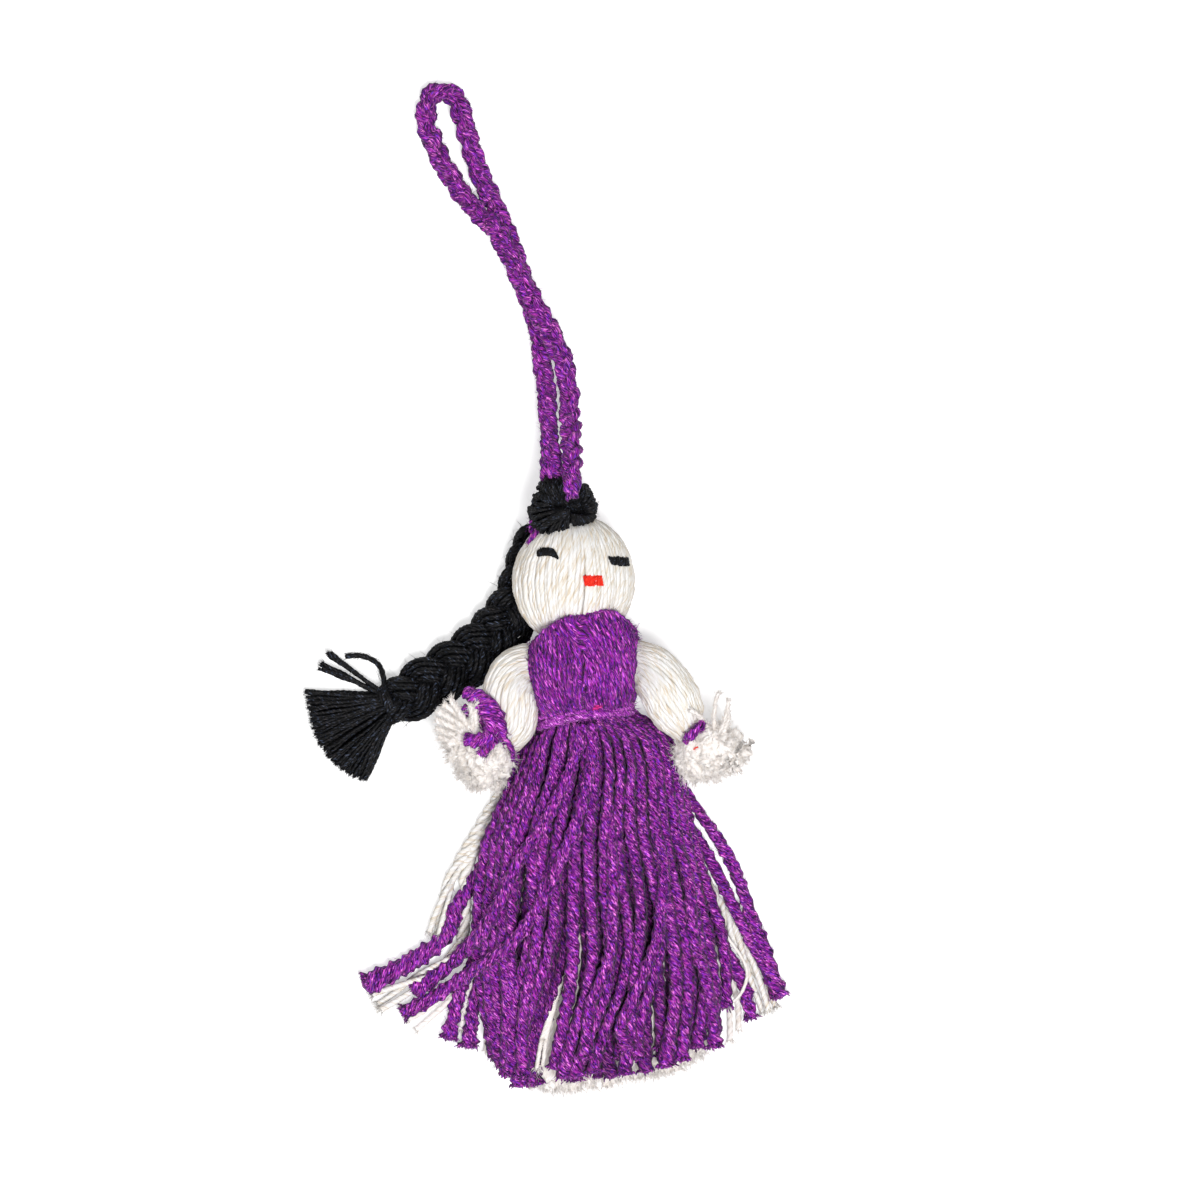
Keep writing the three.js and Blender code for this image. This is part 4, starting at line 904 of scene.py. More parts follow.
underskirt_shape = joined(
    yarns(cream_paths, cream_radius, plies=3, pitch=4.6, groove=0.18, sides=7),
    tufts(cream_paths, 1.4 * COTTON_RADIUS, 30, 2.2, spread=1.0),
    *[
        yarns(path[None], radius, plies=2, pitch=3.0, groove=0.16, sides=8)
        for path, radius in zip(cream_strays, STRAY_RADII)
    ],
    tufts(cream_strays, 0.6, 30, 1.6, spread=0.9),
)
make_piece("underskirt_yarns", underskirt_shape, fluff, "gown_body", "cream_cotton", "underskirt")

# %% [markdown]
# ## Loose yarns
#
# Two yarns swing over the skirt's front to the left. The others come out from under its edges and
# lie on the table.

# %%
# For each loose yarn: its CAD nodes, its radius halfway and at its cut end, and its points.
LOOSE_PURPLE = [
    (["loose_yarn_front_1", "loose_yarn_left_4"], 1.3, 1.75, [
        (-1.2, -1.5), (-2.6, -6.0), (-5.5, -11.8), (-10.0, -18.8), (-14.8, -24.6), (-18.3, -30.6),
        (-22.6, -36.8), (-26.8, -40.7), (-31.1, -43.8), (-36.2, -47.0),
    ]),
    (["loose_yarn_front_2"], 1.3, 1.5, [
        (0.6, -1.5), (-0.2, -8.0), (-3.0, -16.6), (-7.4, -25.3), (-10.5, -30.8), (-14.9, -36.7),
        (-19.6, -40.9), (-24.7, -43.8), (-28.9, -46.3), (-33.9, -48.9), (-38.7, -50.6),
    ]),
    (["loose_yarn_left_3"], 1.7, 2.3, [
        (-18.5, -22.0), (-22.6, -27.0), (-26.8, -32.1), (-29.3, -37.1), (-33.1, -39.9), (-38.5, -42.5),
        (-44.9, -44.9),
    ]),
    (["loose_yarn_left_5"], 1.2, 1.7, [
        (-20.0, -33.0), (-24.4, -41.0), (-27.3, -46.5), (-29.4, -51.6), (-30.8, -56.0),
    ]),
    (["loose_yarn_left_6"], 1.2, 1.75, [
        (-18.6, -36.2), (-22.4, -42.4), (-24.9, -47.6), (-26.4, -53.0), (-27.4, -57.8),
    ]),
    (["loose_yarn_right_1"], 1.25, 1.9, [
        (9.6, -6.4), (14.0, -12.0), (18.9, -20.4), (23.0, -28.2), (24.4, -32.7), (25.9, -38.6),
        (27.4, -44.5), (28.8, -50.7), (29.7, -54.2),
    ]),
    (["loose_yarn_right_3"], 1.15, 1.3, [(16.2, -34.2), (19.8, -42.6), (22.9, -49.6), (24.3, -57.6)]),
]
# The same for the cream yarns, with how far their plies open at the end.
LOOSE_CREAM = [
    (["loose_yarn_left_1"], 0.5, [
        (-9.6, -4.4), (-13.4, -8.8), (-17.2, -12.8), (-21.7, -18.7), (-27.1, -26.3), (-30.0, -32.7),
        (-31.5, -36.9),
    ]),
    (["loose_yarn_left_2"], 1.3, [
        (-13.2, -9.2), (-18.0, -16.0), (-22.4, -21.6), (-24.9, -26.5), (-25.7, -33.7), (-27.2, -39.5),
        (-31.0, -42.9), (-37.3, -45.9), (-43.2, -48.4),
    ]),
    (["loose_yarn_right_2"], 0.9, [
        (9.6, -12.4), (13.6, -20.4), (17.0, -28.6), (19.4, -34.5), (21.6, -39.6), (23.7, -45.1),
        (25.7, -50.4), (27.6, -56.4),
    ]),
]
LOOSE_POINTS = 140
LOOSE_HEIGHT = 1.25
LOOSE_PLY = 0.6
LOOSE_PLY_OUT = 0.62  # how far each ply lies from the yarn's middle
LOOSE_BRUSHES = [(90, 1.1, 0.8), (34, 1.1, 0.9, 0.22)]
for number, (nodes, wide, end, points) in enumerate(LOOSE_PURPLE, 1):
    route = laid(points, 0, LOOSE_POINTS)
    v = np.linspace(0, 1, LOOSE_POINTS)
    widths = [0.85 * wide, 0.9 * wide, wide, 0.5 * (wide + end), end]
    radius = np.interp(v, [0, 0.25, 0.6, 0.9, 1], widths)
    over = nodes[0].startswith("loose_yarn_front")
    route[:, 2] = lying_height(route, wide) if over else radius + 0.1
    shape = hairy_yarns(
        off_table(route, radius)[None], radius, (170, 1.3), LOOSE_BRUSHES,
        pitch=9.5, sides=18, hand=-1, groove=0.34, lumps=0.14,
    )
    make_piece(f"loose_purple_yarn_{number}", shape, purple, "gown_body", "purple_yarn", *nodes)
for number, (nodes, opened, points) in enumerate(LOOSE_CREAM, 1):
    route = laid(points, LOOSE_HEIGHT, 150)[None]
    plies = off_table(plied(route, LOOSE_PLY_OUT, 3, 7.5, opened=opened, tail=0.35), LOOSE_PLY)
    look = {"plies": 2, "pitch": 2.6, "groove": 0.14, "sides": 10}
    shape = hairy_yarns(plies, LOOSE_PLY, (120, 1.3), [(40, 1.6, 0.8)], **look)
    make_piece(f"loose_cream_yarn_{number}", shape, cream, "gown_body", "cream_cotton", *nodes)

# %% [markdown]
# ## Bodice
#
# The hank runs up the chest and folds back over the collar against the chin.

# %%
BODICE_YARNS = 48
BODICE_POINTS = 60
BODICE_YARN = 0.54
# Powers below one make the section squarer than an ellipse.
FULL_ACROSS = 0.55
FULL_ABOVE = 0.75
FOLD_START = 0.84
FOLD_DEPTH = 2.0
CHEST_EASE = 0.3  # the look's hank is this much wider to each side, and taller, than the CAD one


def bodice_section(angle):
    """The section's shares across and up at an angle."""
    across, above = np.cos(angle), np.sin(angle)
    across = np.sign(across) * np.abs(across) ** FULL_ACROSS
    return across, np.sign(above) * np.abs(above) ** FULL_ABOVE


def bodice_layer(count, depth, narrower=0.0):
    """Yarns from the waist to the collar, `depth` under the hank's surface, and from `narrower`
    degrees inside its right edge to the same at its left."""
    angle = np.radians(np.linspace(-6 + narrower, 186 - narrower, 800))
    across, above = bodice_section(angle)
    run = lengths_along(np.stack([across, above], axis=-1)[None])[0]
    angle = np.interp(np.linspace(0, run[-1], count), run, angle)[:, None]
    v = np.linspace(0, 1, BODICE_POINTS)[None]
    off_peak = np.cos(angle) - 2 * COLLAR_LEAN / CHEST_WIDTH
    drop = np.where(off_peak > 0, COLLAR_DROPS[1], COLLAR_DROPS[0]) * off_peak**2
    collar = COLLAR_HEIGHT + CHEST_EASE - drop + rng.uniform(-0.2, 0.2, (count, 1))
    fold = np.clip((v - FOLD_START) / (1 - FOLD_START), 0, 1)
    y = -0.6 + (collar + 0.6) * np.sin(np.pi / 2 * np.clip(v / 0.97, 0, 1)) ** 0.9
    half, high = bodice_outline(np.clip(y / COLLAR_HEIGHT, 0, 1))
    inner = depth + pinch(y) + FOLD_DEPTH * fold**1.6 + waves(count, v, 0.12)
    leaning = angle + (drift(angle, v, 0.07) + 0.06 * (v - 0.5)) * np.sin(angle)
    across, above = bodice_section(leaning)
    lean = -0.7 + 1.3 * y / COLLAR_HEIGHT
    x = lean + (half + CHEST_EASE - inner) * across
    return np.stack([x, y, FOOT + (high - FOOT - inner) * above], axis=-1)


bodice_paths = bodice_layer(BODICE_YARNS, 0.45)
under_bodice = bodice_layer(34, 1.5, 4)
bodice_radius = BODICE_YARN * rng.uniform(0.85, 1.15, (BODICE_YARNS, 1))
BODICE_LOOK = {"plies": 2, "pitch": 8.0, "groove": 0.34, "sides": 10, "hand": -1, "lumps": 0.2}
bodice_shape = joined(
    yarns(bodice_paths, bodice_radius, flank=0.7, **BODICE_LOOK),
    yarns(under_bodice, 0.9, plies=2, pitch=5.5, sides=7, hand=-1),
    fuzz(bodice_paths, BODICE_YARN, 2400, 1.4),
)
make_piece("bodice_front_yarns", bodice_shape, lit_bodice_purple, "gown_body", "purple_yarn", "bodice_front")

back_low, back_high = box_mm("bodice_back")
BODICE_BACK_YARNS = 9
BODICE_BACK_INSET = 0.7
bodice_back_x = np.linspace(
    back_low[0] + BODICE_BACK_INSET, back_high[0] - BODICE_BACK_INSET, BODICE_BACK_YARNS
)[:, None]
bodice_back_v = np.linspace(0, 1, 24)[None]
bodice_back_paths = np.stack(
    [
        bodice_back_x * (0.82 + 0.18 * bodice_back_v),
        -0.5 + (back_high[1] + 0.2) * bodice_back_v * np.ones_like(bodice_back_x),
        0.95 + 0.5 * bodice_back_v * rng.uniform(0, 1, (BODICE_BACK_YARNS, 1)),
    ],
    axis=-1,
)
bodice_back_shape = yarns(bodice_back_paths, 0.9, plies=2, pitch=5.5, sides=9, hand=-1)
make_piece("bodice_back_yarns", bodice_back_shape, lit_bodice_purple, "gown_body", "purple_yarn", "bodice_back")

# %% [markdown]
# The waist tie is a yarn wound three times round the hank, paler and pinker than the gown.

# %%
tie_low, tie_high = box_mm("waist_tie")
TIE_YARN = 0.62
UPWARDS = np.pi / 2  # the doll's own length, as an angle on the table


def wound(centre, half_width, half_depth, heading, turns, spread, radius, points, start=0.0):
    """One yarn wound round a bundle, its turns side by side over the length `spread`. `heading` is
    the bundle's angle on the table."""
    t = np.linspace(start, start + TURN * turns, points)
    across = np.array([np.sin(heading), -np.cos(heading), 0])
    forward = np.array([np.cos(heading), np.sin(heading), 0])
    progress = np.linspace(-0.5, 0.5, points)[:, None] * spread
    wobble = (0.18 * radius * np.sin(2.3 * t))[:, None]
    ring = (half_width * np.cos(t))[:, None] * across
    ring = ring + (half_depth * np.sin(t))[:, None] * np.array([0, 0, 1])
    path = np.asarray(centre) + ring + (progress + wobble) * forward
    return off_table(path, radius)[None]


waist_middle = (-0.6, 0, (tie_low[2] + tie_high[2]) / 2)
waist_half = tie_high[0] + 0.1
waist_deep = (tie_high[2] - tie_low[2]) / 2 - 0.2 * TIE_YARN
# For each turn: how far it lies up the hank, and the angle at which it starts.
WAIST_TURNS = [(-0.8, 0.4), (0.0, 2.0), (0.8, 3.6)]
waist_turns = []
for offset, start in WAIST_TURNS:
    turn = wound(
        waist_middle, waist_half, waist_deep, UPWARDS, 1.02, 0.3, TIE_YARN, 110, start
    )
    waist_turns.append(turn + np.array([0, offset, 0]))
waist_paths = np.concatenate(waist_turns)
waist_paths[..., 1] += 1.1 - 0.015 * (waist_paths[..., 0] - 1.5) ** 2
waist_shape = hairy_yarns(
    waist_paths, TIE_YARN, (900, 1.6), plies=2, pitch=3.2, groove=0.25, sides=10, lumps=0.15
)
make_piece("waist_tie_yarn", waist_shape, pink, "gown_body", "purple_yarn", "waist_tie")
# A few fibres of another colour are caught in it.
spot_top = waist_paths[..., 2].max() + 1.3
SPOT = [(1.0, 1.3, -0.3), (1.9, 1.6, 0.0), (2.7, 1.7, -0.3)]
spot_paths = np.array([
    smooth([(x, y + offset, spot_top + z) for x, y, z in SPOT], 12) for offset in (-0.2, 0, 0.2)
])
spot_shape = hairy_yarns(spot_paths, 0.16, (30, 0.8), plies=2, pitch=1.5, sides=8)
make_piece("magenta_fibres", spot_shape, magenta, "gown_body", "purple_yarn")

# %% [markdown]
# Inside the gown a cream hank runs from the neck down through the waist. A thread gathers it at the
# neck.

# %%
core_low, core_high = box_mm("torso_core")
neck_low, neck_high = box_mm("neck_tie")
CORE_YARNS = 26
CORE_INSET = 0.9
NECK_BUNDLE = 2.5
NECK_THREAD = 0.32
core_a = (TURN * np.arange(CORE_YARNS) / CORE_YARNS)[:, None]
core_v = np.linspace(0, 1, 26)[None]
# Shares of the way up, then how full the hank is there.
CORE_SHARES = np.array([
    [0, 0.0],
    [0.2, 0.4],
    [0.35, 0.8],
    [0.6, 0.8],
    [0.78, 0.56],
    [0.88, 0.16],
    [1, 0.1],
])
core_full = columns_at(CORE_SHARES, core_v)[0]
neck_middle = (neck_low[2] + neck_high[2]) / 2
core_half = (core_high[0] - core_low[0]) / 2 - CORE_INSET
core_deep = (core_high[2] - core_low[2]) / 2 - CORE_INSET
core_x = np.cos(core_a) * (NECK_BUNDLE + (core_half - NECK_BUNDLE) * core_full)
core_y = core_low[1] + (core_high[1] - core_low[1]) * core_v * np.ones_like(core_a)
core_middle = np.interp(core_v, [0, 0.15, 0.4, 1], [7.0, 7.4, 8.6, neck_middle])
core_z = core_middle + np.sin(core_a) * (NECK_BUNDLE + (core_deep - NECK_BUNDLE) * core_full)
core_paths = np.stack([core_x, core_y, core_z], axis=-1)
core_shape = yarns(core_paths, 0.85, plies=2, pitch=3.6, sides=8)
make_piece("body_hank_yarns", core_shape, cream, "gown_body", "cream_cotton", "torso_core")
neck_centre = (0, (neck_low[1] + neck_high[1]) / 2, neck_middle)
neck_radius = (neck_high[0] - neck_low[0]) / 2 - 0.5
neck_paths = wound(
    neck_centre, neck_radius, neck_radius, UPWARDS, 3.0, 0.9, NECK_THREAD, 120
)
neck_shape = yarns(neck_paths, NECK_THREAD, plies=2, pitch=2, sides=8)
make_piece("neck_thread", neck_shape, cream, "gown_body", "cream_cotton", "neck_tie")

# %% [markdown]
# ## Head
#
# Thin cream yarns run over the wadding ball from the neck to the crown. The head's outline at the
# height y is the half-width times (1 - |y / half-length|^p)^(1/2).

# %%
head_low, head_high = box_mm("head_yarn")
HEAD_POWER = 2.15
HEAD_X = (head_low[0] + head_high[0]) / 2
HEAD_HALF = (head_high[0] - head_low[0]) / 2
HEAD_LENGTH = 23
HEAD_Y = head_high[1] - HEAD_LENGTH / 2
HEAD_Z = (head_low[2] + head_high[2]) / 2
HEAD_DEEP = (head_high[2] - head_low[2]) / 2


def head_share(y):
    """The head's width at a height, as a share of its greatest."""
    up = (y - HEAD_Y) / (HEAD_LENGTH / 2)
    return np.sqrt(np.clip(1 - np.abs(up) ** HEAD_POWER, 0, 1))


TEMPLE_FLAT = 0.17


def temple(x, y):
    """The share of the head's width left at a place: its upper left side is flatter than the right."""
    up = np.clip((y - HEAD_Y) / (HEAD_LENGTH / 2), 0, 1)
    return np.where(x < HEAD_X, 1 - TEMPLE_FLAT * up**1.4, 1)


def on_face(x, y, lift=0.0):
    """The point of the head's front surface, or above it, at a place seen from the front."""
    across = (x - HEAD_X) / (HEAD_HALF * head_share(y) * temple(x, y))
    z = HEAD_Z + (HEAD_DEEP * head_share(y)) * np.sqrt(np.clip(1 - across**2, 0, 1))
    return np.stack([x, y, z + lift], axis=-1)


HEAD_YARNS = 84
HEAD_POINTS = 70
HEAD_YARN = 0.58
DEEP_YARN = 0.9


def head_layer(count, radius, depth, wander):
    """Yarns from the neck to the crown that fan out under the hair, and their radii."""
    a = (TURN * (np.arange(count) + rng.uniform(-0.15, 0.15, count)) / count)[:, None]
    polar = np.linspace(0.09, 0.97, HEAD_POINTS)[None]
    y = HEAD_Y - (HEAD_LENGTH / 2 - 0.4) * np.cos(np.pi * polar) * np.ones_like(a)
    ring = head_share(y)
    sunk = depth + waves(count, polar, 0.1) + rng.uniform(-0.1, 0.1, (count, 1))
    angle = a + drift(a, polar, wander) + waves(count, polar, 0.012) + 0.1 * np.cos(np.pi * polar)
    x = HEAD_X + (HEAD_HALF * ring - sunk) * np.cos(angle)
    x = HEAD_X + (x - HEAD_X) * temple(x, y)
    z = HEAD_Z + (HEAD_DEEP * ring - sunk) * np.sin(angle)
    radii = radius * (0.45 + 0.55 * ring) * rng.uniform(0.92, 1.12, (count, 1))
    return np.stack([x, y, z], axis=-1), radii


head_paths, head_radius = head_layer(HEAD_YARNS, HEAD_YARN, 0.42, 0.09)
deep_paths, deep_radius = head_layer(46, DEEP_YARN, 1.3, 0.0)
head_shape = joined(
    yarns(head_paths, head_radius, plies=2, pitch=7.0, groove=0.2, sides=10, lumps=0.06, flank=0.7),
    yarns(deep_paths, deep_radius, plies=2, pitch=5.0, groove=0.1, sides=7),
    fuzz(head_paths, head_radius, 500, 1.2, 0.03, 0.4),
)
make_piece("head_yarns", head_shape, cream, "head_body", "cream_cotton", "head_yarn")

# %% [markdown]
# The eyes and the mouth are upright stitches side by side.


# %%
STITCH_LIFT = 1.8  # how high a stitch lies on the face, and how deep its ends go, in radii
STITCH_DIP = 3.1


def stitched(tops, bottoms, count, radius):
    """Stitches from the points `tops` to the points `bottoms`, each a line from left to right."""
    share = np.linspace(0, 1, count)
    ends = []
    for line in (tops, bottoms):
        line = np.array(line, float)
        at = np.linspace(0, 1, len(line))
        ends.append(np.stack([np.interp(share, at, line[:, k]) for k in range(2)], axis=-1))
    t = np.linspace(0, 1, 14)[:, None]
    ragged = rng.uniform(-0.06, 0.06, (2, count))
    paths = []
    for k in range(count):
        top, bottom = ends[0][k] + [0, ragged[0, k]], ends[1][k] + [0, ragged[1, k]]
        flat = top + (bottom - top) * t
        path = on_face(flat[:, 0], flat[:, 1], STITCH_LIFT * radius)
        path[:, 2] -= STITCH_DIP * radius * np.abs(2 * t[:, 0] - 1) ** 8
        paths.append(path)
    return np.array(paths)


LEFT_EYE = (
    [(-6.0, 30.4), (-5.4, 30.8), (-4.6, 30.8), (-3.8, 30.65), (-3.3, 30.35), (-3.0, 29.8)],
    [(-6.1, 29.5), (-5.4, 29.45), (-4.6, 29.45), (-3.9, 29.3), (-3.2, 29.0), (-2.6, 28.6)],
)
RIGHT_EYE = (
    [(6.5, 28.1), (7.2, 27.95), (8.4, 27.85), (9.4, 27.7), (9.8, 27.6)],
    [(7.0, 26.8), (7.3, 26.6), (8.4, 26.4), (9.4, 26.25), (9.85, 26.2)],
)
MOUTH = ([(1.7, 25.15), (3.2, 25.2), (4.75, 24.95)], [(1.85, 23.3), (3.3, 23.15), (4.9, 23.1)])
EYE_THREAD = 0.26
MOUTH_THREAD = 0.2
THREAD_LOOK = {"plies": 2, "pitch": 1.1, "sides": 8}
for node, (tops, bottoms) in {"left_eye": LEFT_EYE, "right_eye": RIGHT_EYE}.items():
    shape = yarns(stitched(tops, bottoms, 12, EYE_THREAD), EYE_THREAD, **THREAD_LOOK)
    make_piece(f"{node}_stitches", shape, black, "head_body", "black_yarn", node)
mouth_shape = yarns(stitched(*MOUTH, 11, MOUTH_THREAD), MOUTH_THREAD, **THREAD_LOOK)
make_piece("mouth_stitches", mouth_shape, red, "head_body", "red_thread", "mouth")

# %% [markdown]
# ## Hair crest
#
# The crest is two fans of looped black yarn that part at a crease. Each loop is most of an ellipse
# in an upright plane: it comes up out of the crease, goes out over the front and comes back
# underneath. The lowest loops lie flat on the forehead.

# %%
CREST_YARN = 0.36
FOREHEAD_LIFT = 6.0
# For each lobe: directions in degrees, how far its loops reach in each, and where they start.
LOBES = {
    "crest_left": np.array([
        [92, 5.0, -0.1, 38.2],
        [105, 5.4, -0.1, 38.0],
        [117, 6.2, -0.2, 37.8],
        [128, 6.4, -0.2, 37.7],
        [145, 6.1, -0.3, 37.6],
        [161, 6.2, -0.3, 37.6],
        [184, 7.1, -0.3, 37.5],
        [206, 6.5, -0.3, 37.4],
        [217, 5.9, -0.3, 37.3],
        [243, 4.2, -0.2, 37.3],
        [266, 3.2, 0.0, 37.2],
    ]),
    "crest_right": np.array([
        [88, 2.9, 0.4, 37.6],
        [74, 4.2, 0.8, 37.3],
        [66, 5.0, 1.3, 36.9],
        [58, 4.8, 1.6, 36.5],
        [42, 4.1, 1.8, 36.1],
        [20, 3.2, 1.9, 35.9],
        [-12, 2.6, 1.9, 35.9],
        [-50, 1.9, 1.4, 36.0],
        [-85, 1.9, 0.6, 36.3],
    ]),
}
# For each row of loops, the outer one first: how high they rise, and how many they are.
CREST_LEVELS = [(4.8, 42), (3.9, 32), (2.8, 24)]
CREST_LOOK = {"plies": 2, "pitch": 2.2, "groove": 0.3, "sides": 8}


def crest_loops(lobe):
    """The loops of one lobe, row inside row."""
    loops = []
    for level, (high, count) in enumerate(CREST_LEVELS):
        place = np.linspace(0, 1, count) + rng.uniform(-0.01, 0.01, count)
        spot = np.linspace(0, 1, len(lobe))
        degrees, reach, root_x, root_y = (np.interp(place, spot, c)[:, None] for c in lobe.T)
        direction = np.radians(degrees)
        reach = reach * rng.uniform(0.9, 1.05, (count, 1))
        down = np.clip(-np.sin(direction) * 1.5 + 0.1, 0, 1)
        t = np.linspace(0, 0.97, 44)[None] * np.pi
        out = (reach - 0.3 * level) * np.sin(t) ** 0.75
        bent = direction + 0.07 * waves(count, t / np.pi, 1.0)
        flat = high * (1 - 0.74 * down)
        middle = HEAD_Z + (FOREHEAD_LIFT - 1.2 * level) * down
        crease = 0.55 * flat * np.exp(-((t / 0.45) ** 2))
        x = root_x + out * np.cos(bent)
        y = root_y + out * np.sin(bent)
        z = middle + flat * np.cos(t) - crease + rng.uniform(-0.25, 0.25, (count, 1))
        loops.append(np.stack([x, y, z], axis=-1))
    return np.concatenate(loops)


# Under the crease, yarns run across from lobe to lobe.
across_y = np.linspace(35.0, 41.0, 20)[:, None]
across_x = np.linspace(-3.6, 3.6, 20)[None]
across_z = np.maximum(on_face(0 * across_y, across_y, 0.5)[..., 2], 12.6) - 0.05 * across_x**2
across_y = across_y + waves(20, across_x / 7, 0.12)
across_paths = np.stack(np.broadcast_arrays(across_x, across_y, across_z), axis=-1)

for node, lobe in LOBES.items():
    loops = crest_loops(lobe)
    crest_shape = joined(
        yarns(across_paths, CREST_YARN, **CREST_LOOK),
        hairy_yarns(loops, CREST_YARN, (700, 1.3, 0.03), lumps=0.12, **CREST_LOOK),
    )
    make_piece(f"{node}_loops", crest_shape, black, "head_body", "black_yarn", node)

# The ends of the hanging cord run on down through the crest, the right one in front of its crease.
CORD_ENDS = {
    "right": [
        LOOP_ROUTE[0],
        (1.2, 42.2, 14.4), (1.2, 41.4, 14.9), (1.0, 40.5, 14.6), (0.8, 39.4, 12.8),
    ],
    "left": [LOOP_ROUTE[-1], (-2.4, 41.6, 10.5), (-2.3, 40.0, 10.4), (-2.2, 38.0, 10.3)],
}
CORD_END_POINTS = 40
for side, points in CORD_ENDS.items():
    end_paths = cord_yarns(smooth(points, CORD_END_POINTS))
    middle = end_paths.mean(axis=0)
    narrower = np.linspace(1, 0.45, CORD_END_POINTS)
    end_paths = middle + (end_paths - middle) * narrower[:, None]
    end_shape = yarns(end_paths, LOOP_YARN * narrower**0.4, **CORD_LOOK)
    make_piece(f"cord_end_{side}", end_shape, purple, "head_body", "purple_yarn", f"loop_end_{side}")

# The crown's binding runs round the back of the head. It shows at both sides under the hair.
CROWN_YARN = 0.85
CROWN_INSET = 2.3
CROWN_LOOK = {"plies": 3, "pitch": 5, "sides": 12, "hand": -1, "lumps": 0.15}
crown_low, crown_high = box_mm("crown_tie")
crown_half = (crown_high[0] - crown_low[0]) / 2 - CROWN_INSET
crown_turn = np.radians(np.linspace(175, 318, 60))
crown_shape_parts = []
for offset, grow in ((-0.75, 0.35), (0.55, 0.0)):
    ring_x = (crown_high[0] + crown_low[0]) / 2 + (crown_half + grow) * np.cos(crown_turn)
    ring_z = HEAD_Z + (crown_half + grow) * np.sin(crown_turn)
    ring_y = np.full_like(ring_x, (crown_low[1] + crown_high[1]) / 2 + offset)
    crown_path = np.stack([ring_x, ring_y, ring_z], axis=-1)[None]
    crown_shape_parts.append(hairy_yarns(crown_path, CROWN_YARN, (120, 1.3), **CROWN_LOOK))
TEMPLE_END = [
    (-5.4, 35.2, 9.6), (-5.5, 34.9, 11.8), (-5.7, 34.0, 13.4), (-6.6, 32.9, 13.8), (-7.4, 31.9, 13.2),
]
temple_end = smooth(TEMPLE_END, 30)[None]
crown_shape_parts.append(yarns(temple_end, CROWN_YARN, **CROWN_LOOK))
crown_shape_parts.append(tufts(temple_end, 0.8, 40, 0.8))
make_piece("crown_tie_yarn", joined(*crown_shape_parts), purple, "head_body", "purple_yarn", "crown_tie")

# %% [markdown]
# ## Plait
#
# Three bundles of thin black yarn are plaited as the CAD strands are, along nearly the same route.
# The plait swells from its root under the crest to its full width and narrows again at the tie.

# %%
PLAIT_ROOT = np.array([-8.284, 34.705, 0])
PLAIT_LENGTH = 43
PLAIT_WIDTH = 9.4
PLAIT_DEPTH = 5.5
PLAIT_TURNS = 3
PLAIT_ROUTE_SHARES = np.array([
    [0.028, 0.0, 0.088],
    [-0.02, -0.095, 0.078],
    [-0.045, -0.195, 0.071],
    [-0.075, -0.295, 0.067],
    [-0.127, -0.4, 0.067],
    [-0.24, -0.49, 0.067],
    [-0.35, -0.553, 0.067],
    [-0.463, -0.608, 0.067],
    [-0.562, -0.66, 0.067],
    [-0.64, -0.682, 0.067],
])
# Shares of the way along, then width and depth as shares of the greatest.
PLAIT_SIZE_SHARES = np.array([
    [0, 0.36, 0.66],
    [0.12, 0.46, 0.66],
    [0.25, 0.66, 0.8],
    [0.42, 1.06, 1],
    [0.85, 1, 1],
    [0.95, 0.88, 0.92],
    [1, 0.74, 0.85],
])
WEAVE = 1.75
PLAIT_POINTS = 120
plait_route = smooth(PLAIT_ROOT + PLAIT_LENGTH * PLAIT_ROUTE_SHARES, PLAIT_POINTS)
plait_share = np.linspace(0, 1, PLAIT_POINTS)
plait_wide, plait_deep = columns_at(PLAIT_SIZE_SHARES, plait_share)
half_wide = PLAIT_WIDTH / 2 * plait_wide / (1 + WEAVE)
half_deep = PLAIT_DEPTH / 2 * plait_deep / (1 + WEAVE)
plait_tangent = unit(np.gradient(plait_route, axis=0))
plait_side = unit(np.cross(plait_tangent, [0, 0, 1]))
PLAIT_FILL = 1.3  # bundles press against each other
BUNDLE_TWIST = 0.9 * TURN
# A bundle's yarns: how far out of its middle, how many, and the turn of the first.
BUNDLE = [(0.0, 1, 0.0), (0.45, 6, 0.3), (0.86, 14, 0.0)]


def bundle_paths(which):
    """One bundle of the plait: side to side as sin t, and over and under as sin 2t."""
    t = TURN * (PLAIT_TURNS * plait_share**0.82 + which / 3)
    middle = plait_route + (WEAVE * half_wide * np.sin(t))[:, None] * plait_side
    middle[:, 2] += WEAVE * half_deep * np.sin(2 * t)
    tangent, side, up = (d[0] for d in frames_along(middle[None]))
    across = unit(np.cross(tangent, [0, 0, 1]))
    above = unit(np.cross(across, tangent))
    paths = []
    for out, count, first in BUNDLE:
        for k in range(count):
            angle = TURN * (k + first) / count + BUNDLE_TWIST * plait_share
            angle = angle + rng.uniform(-0.15, 0.15)
            sideways = out * PLAIT_FILL * half_wide * np.cos(angle)
            upwards = out * PLAIT_FILL * half_deep * np.sin(angle)
            paths.append(middle + sideways[:, None] * across + upwards[:, None] * above)
    return np.array(paths)


PLAIT_YARN = 0.4
BLACK_LOOK = {"plies": 2, "groove": 0.28, "sides": 8, "lumps": 0.08}
for which in range(3):
    paths = off_table(bundle_paths(which), PLAIT_YARN)
    radius = PLAIT_YARN * (0.8 + 0.35 * plait_wide)
    bundle_shape = joined(
        hairy_yarns(paths, radius, (900, 1.9, 0.03, 1.2), pitch=2.6, **BLACK_LOOK),
        fuzz(paths, radius, 70, 3.6, 0.05, 2.0),
    )
    node = f"plait_strand_{which + 1}"
    make_piece(f"{node}_yarns", bundle_shape, black, "plait_body", "black_yarn", node)

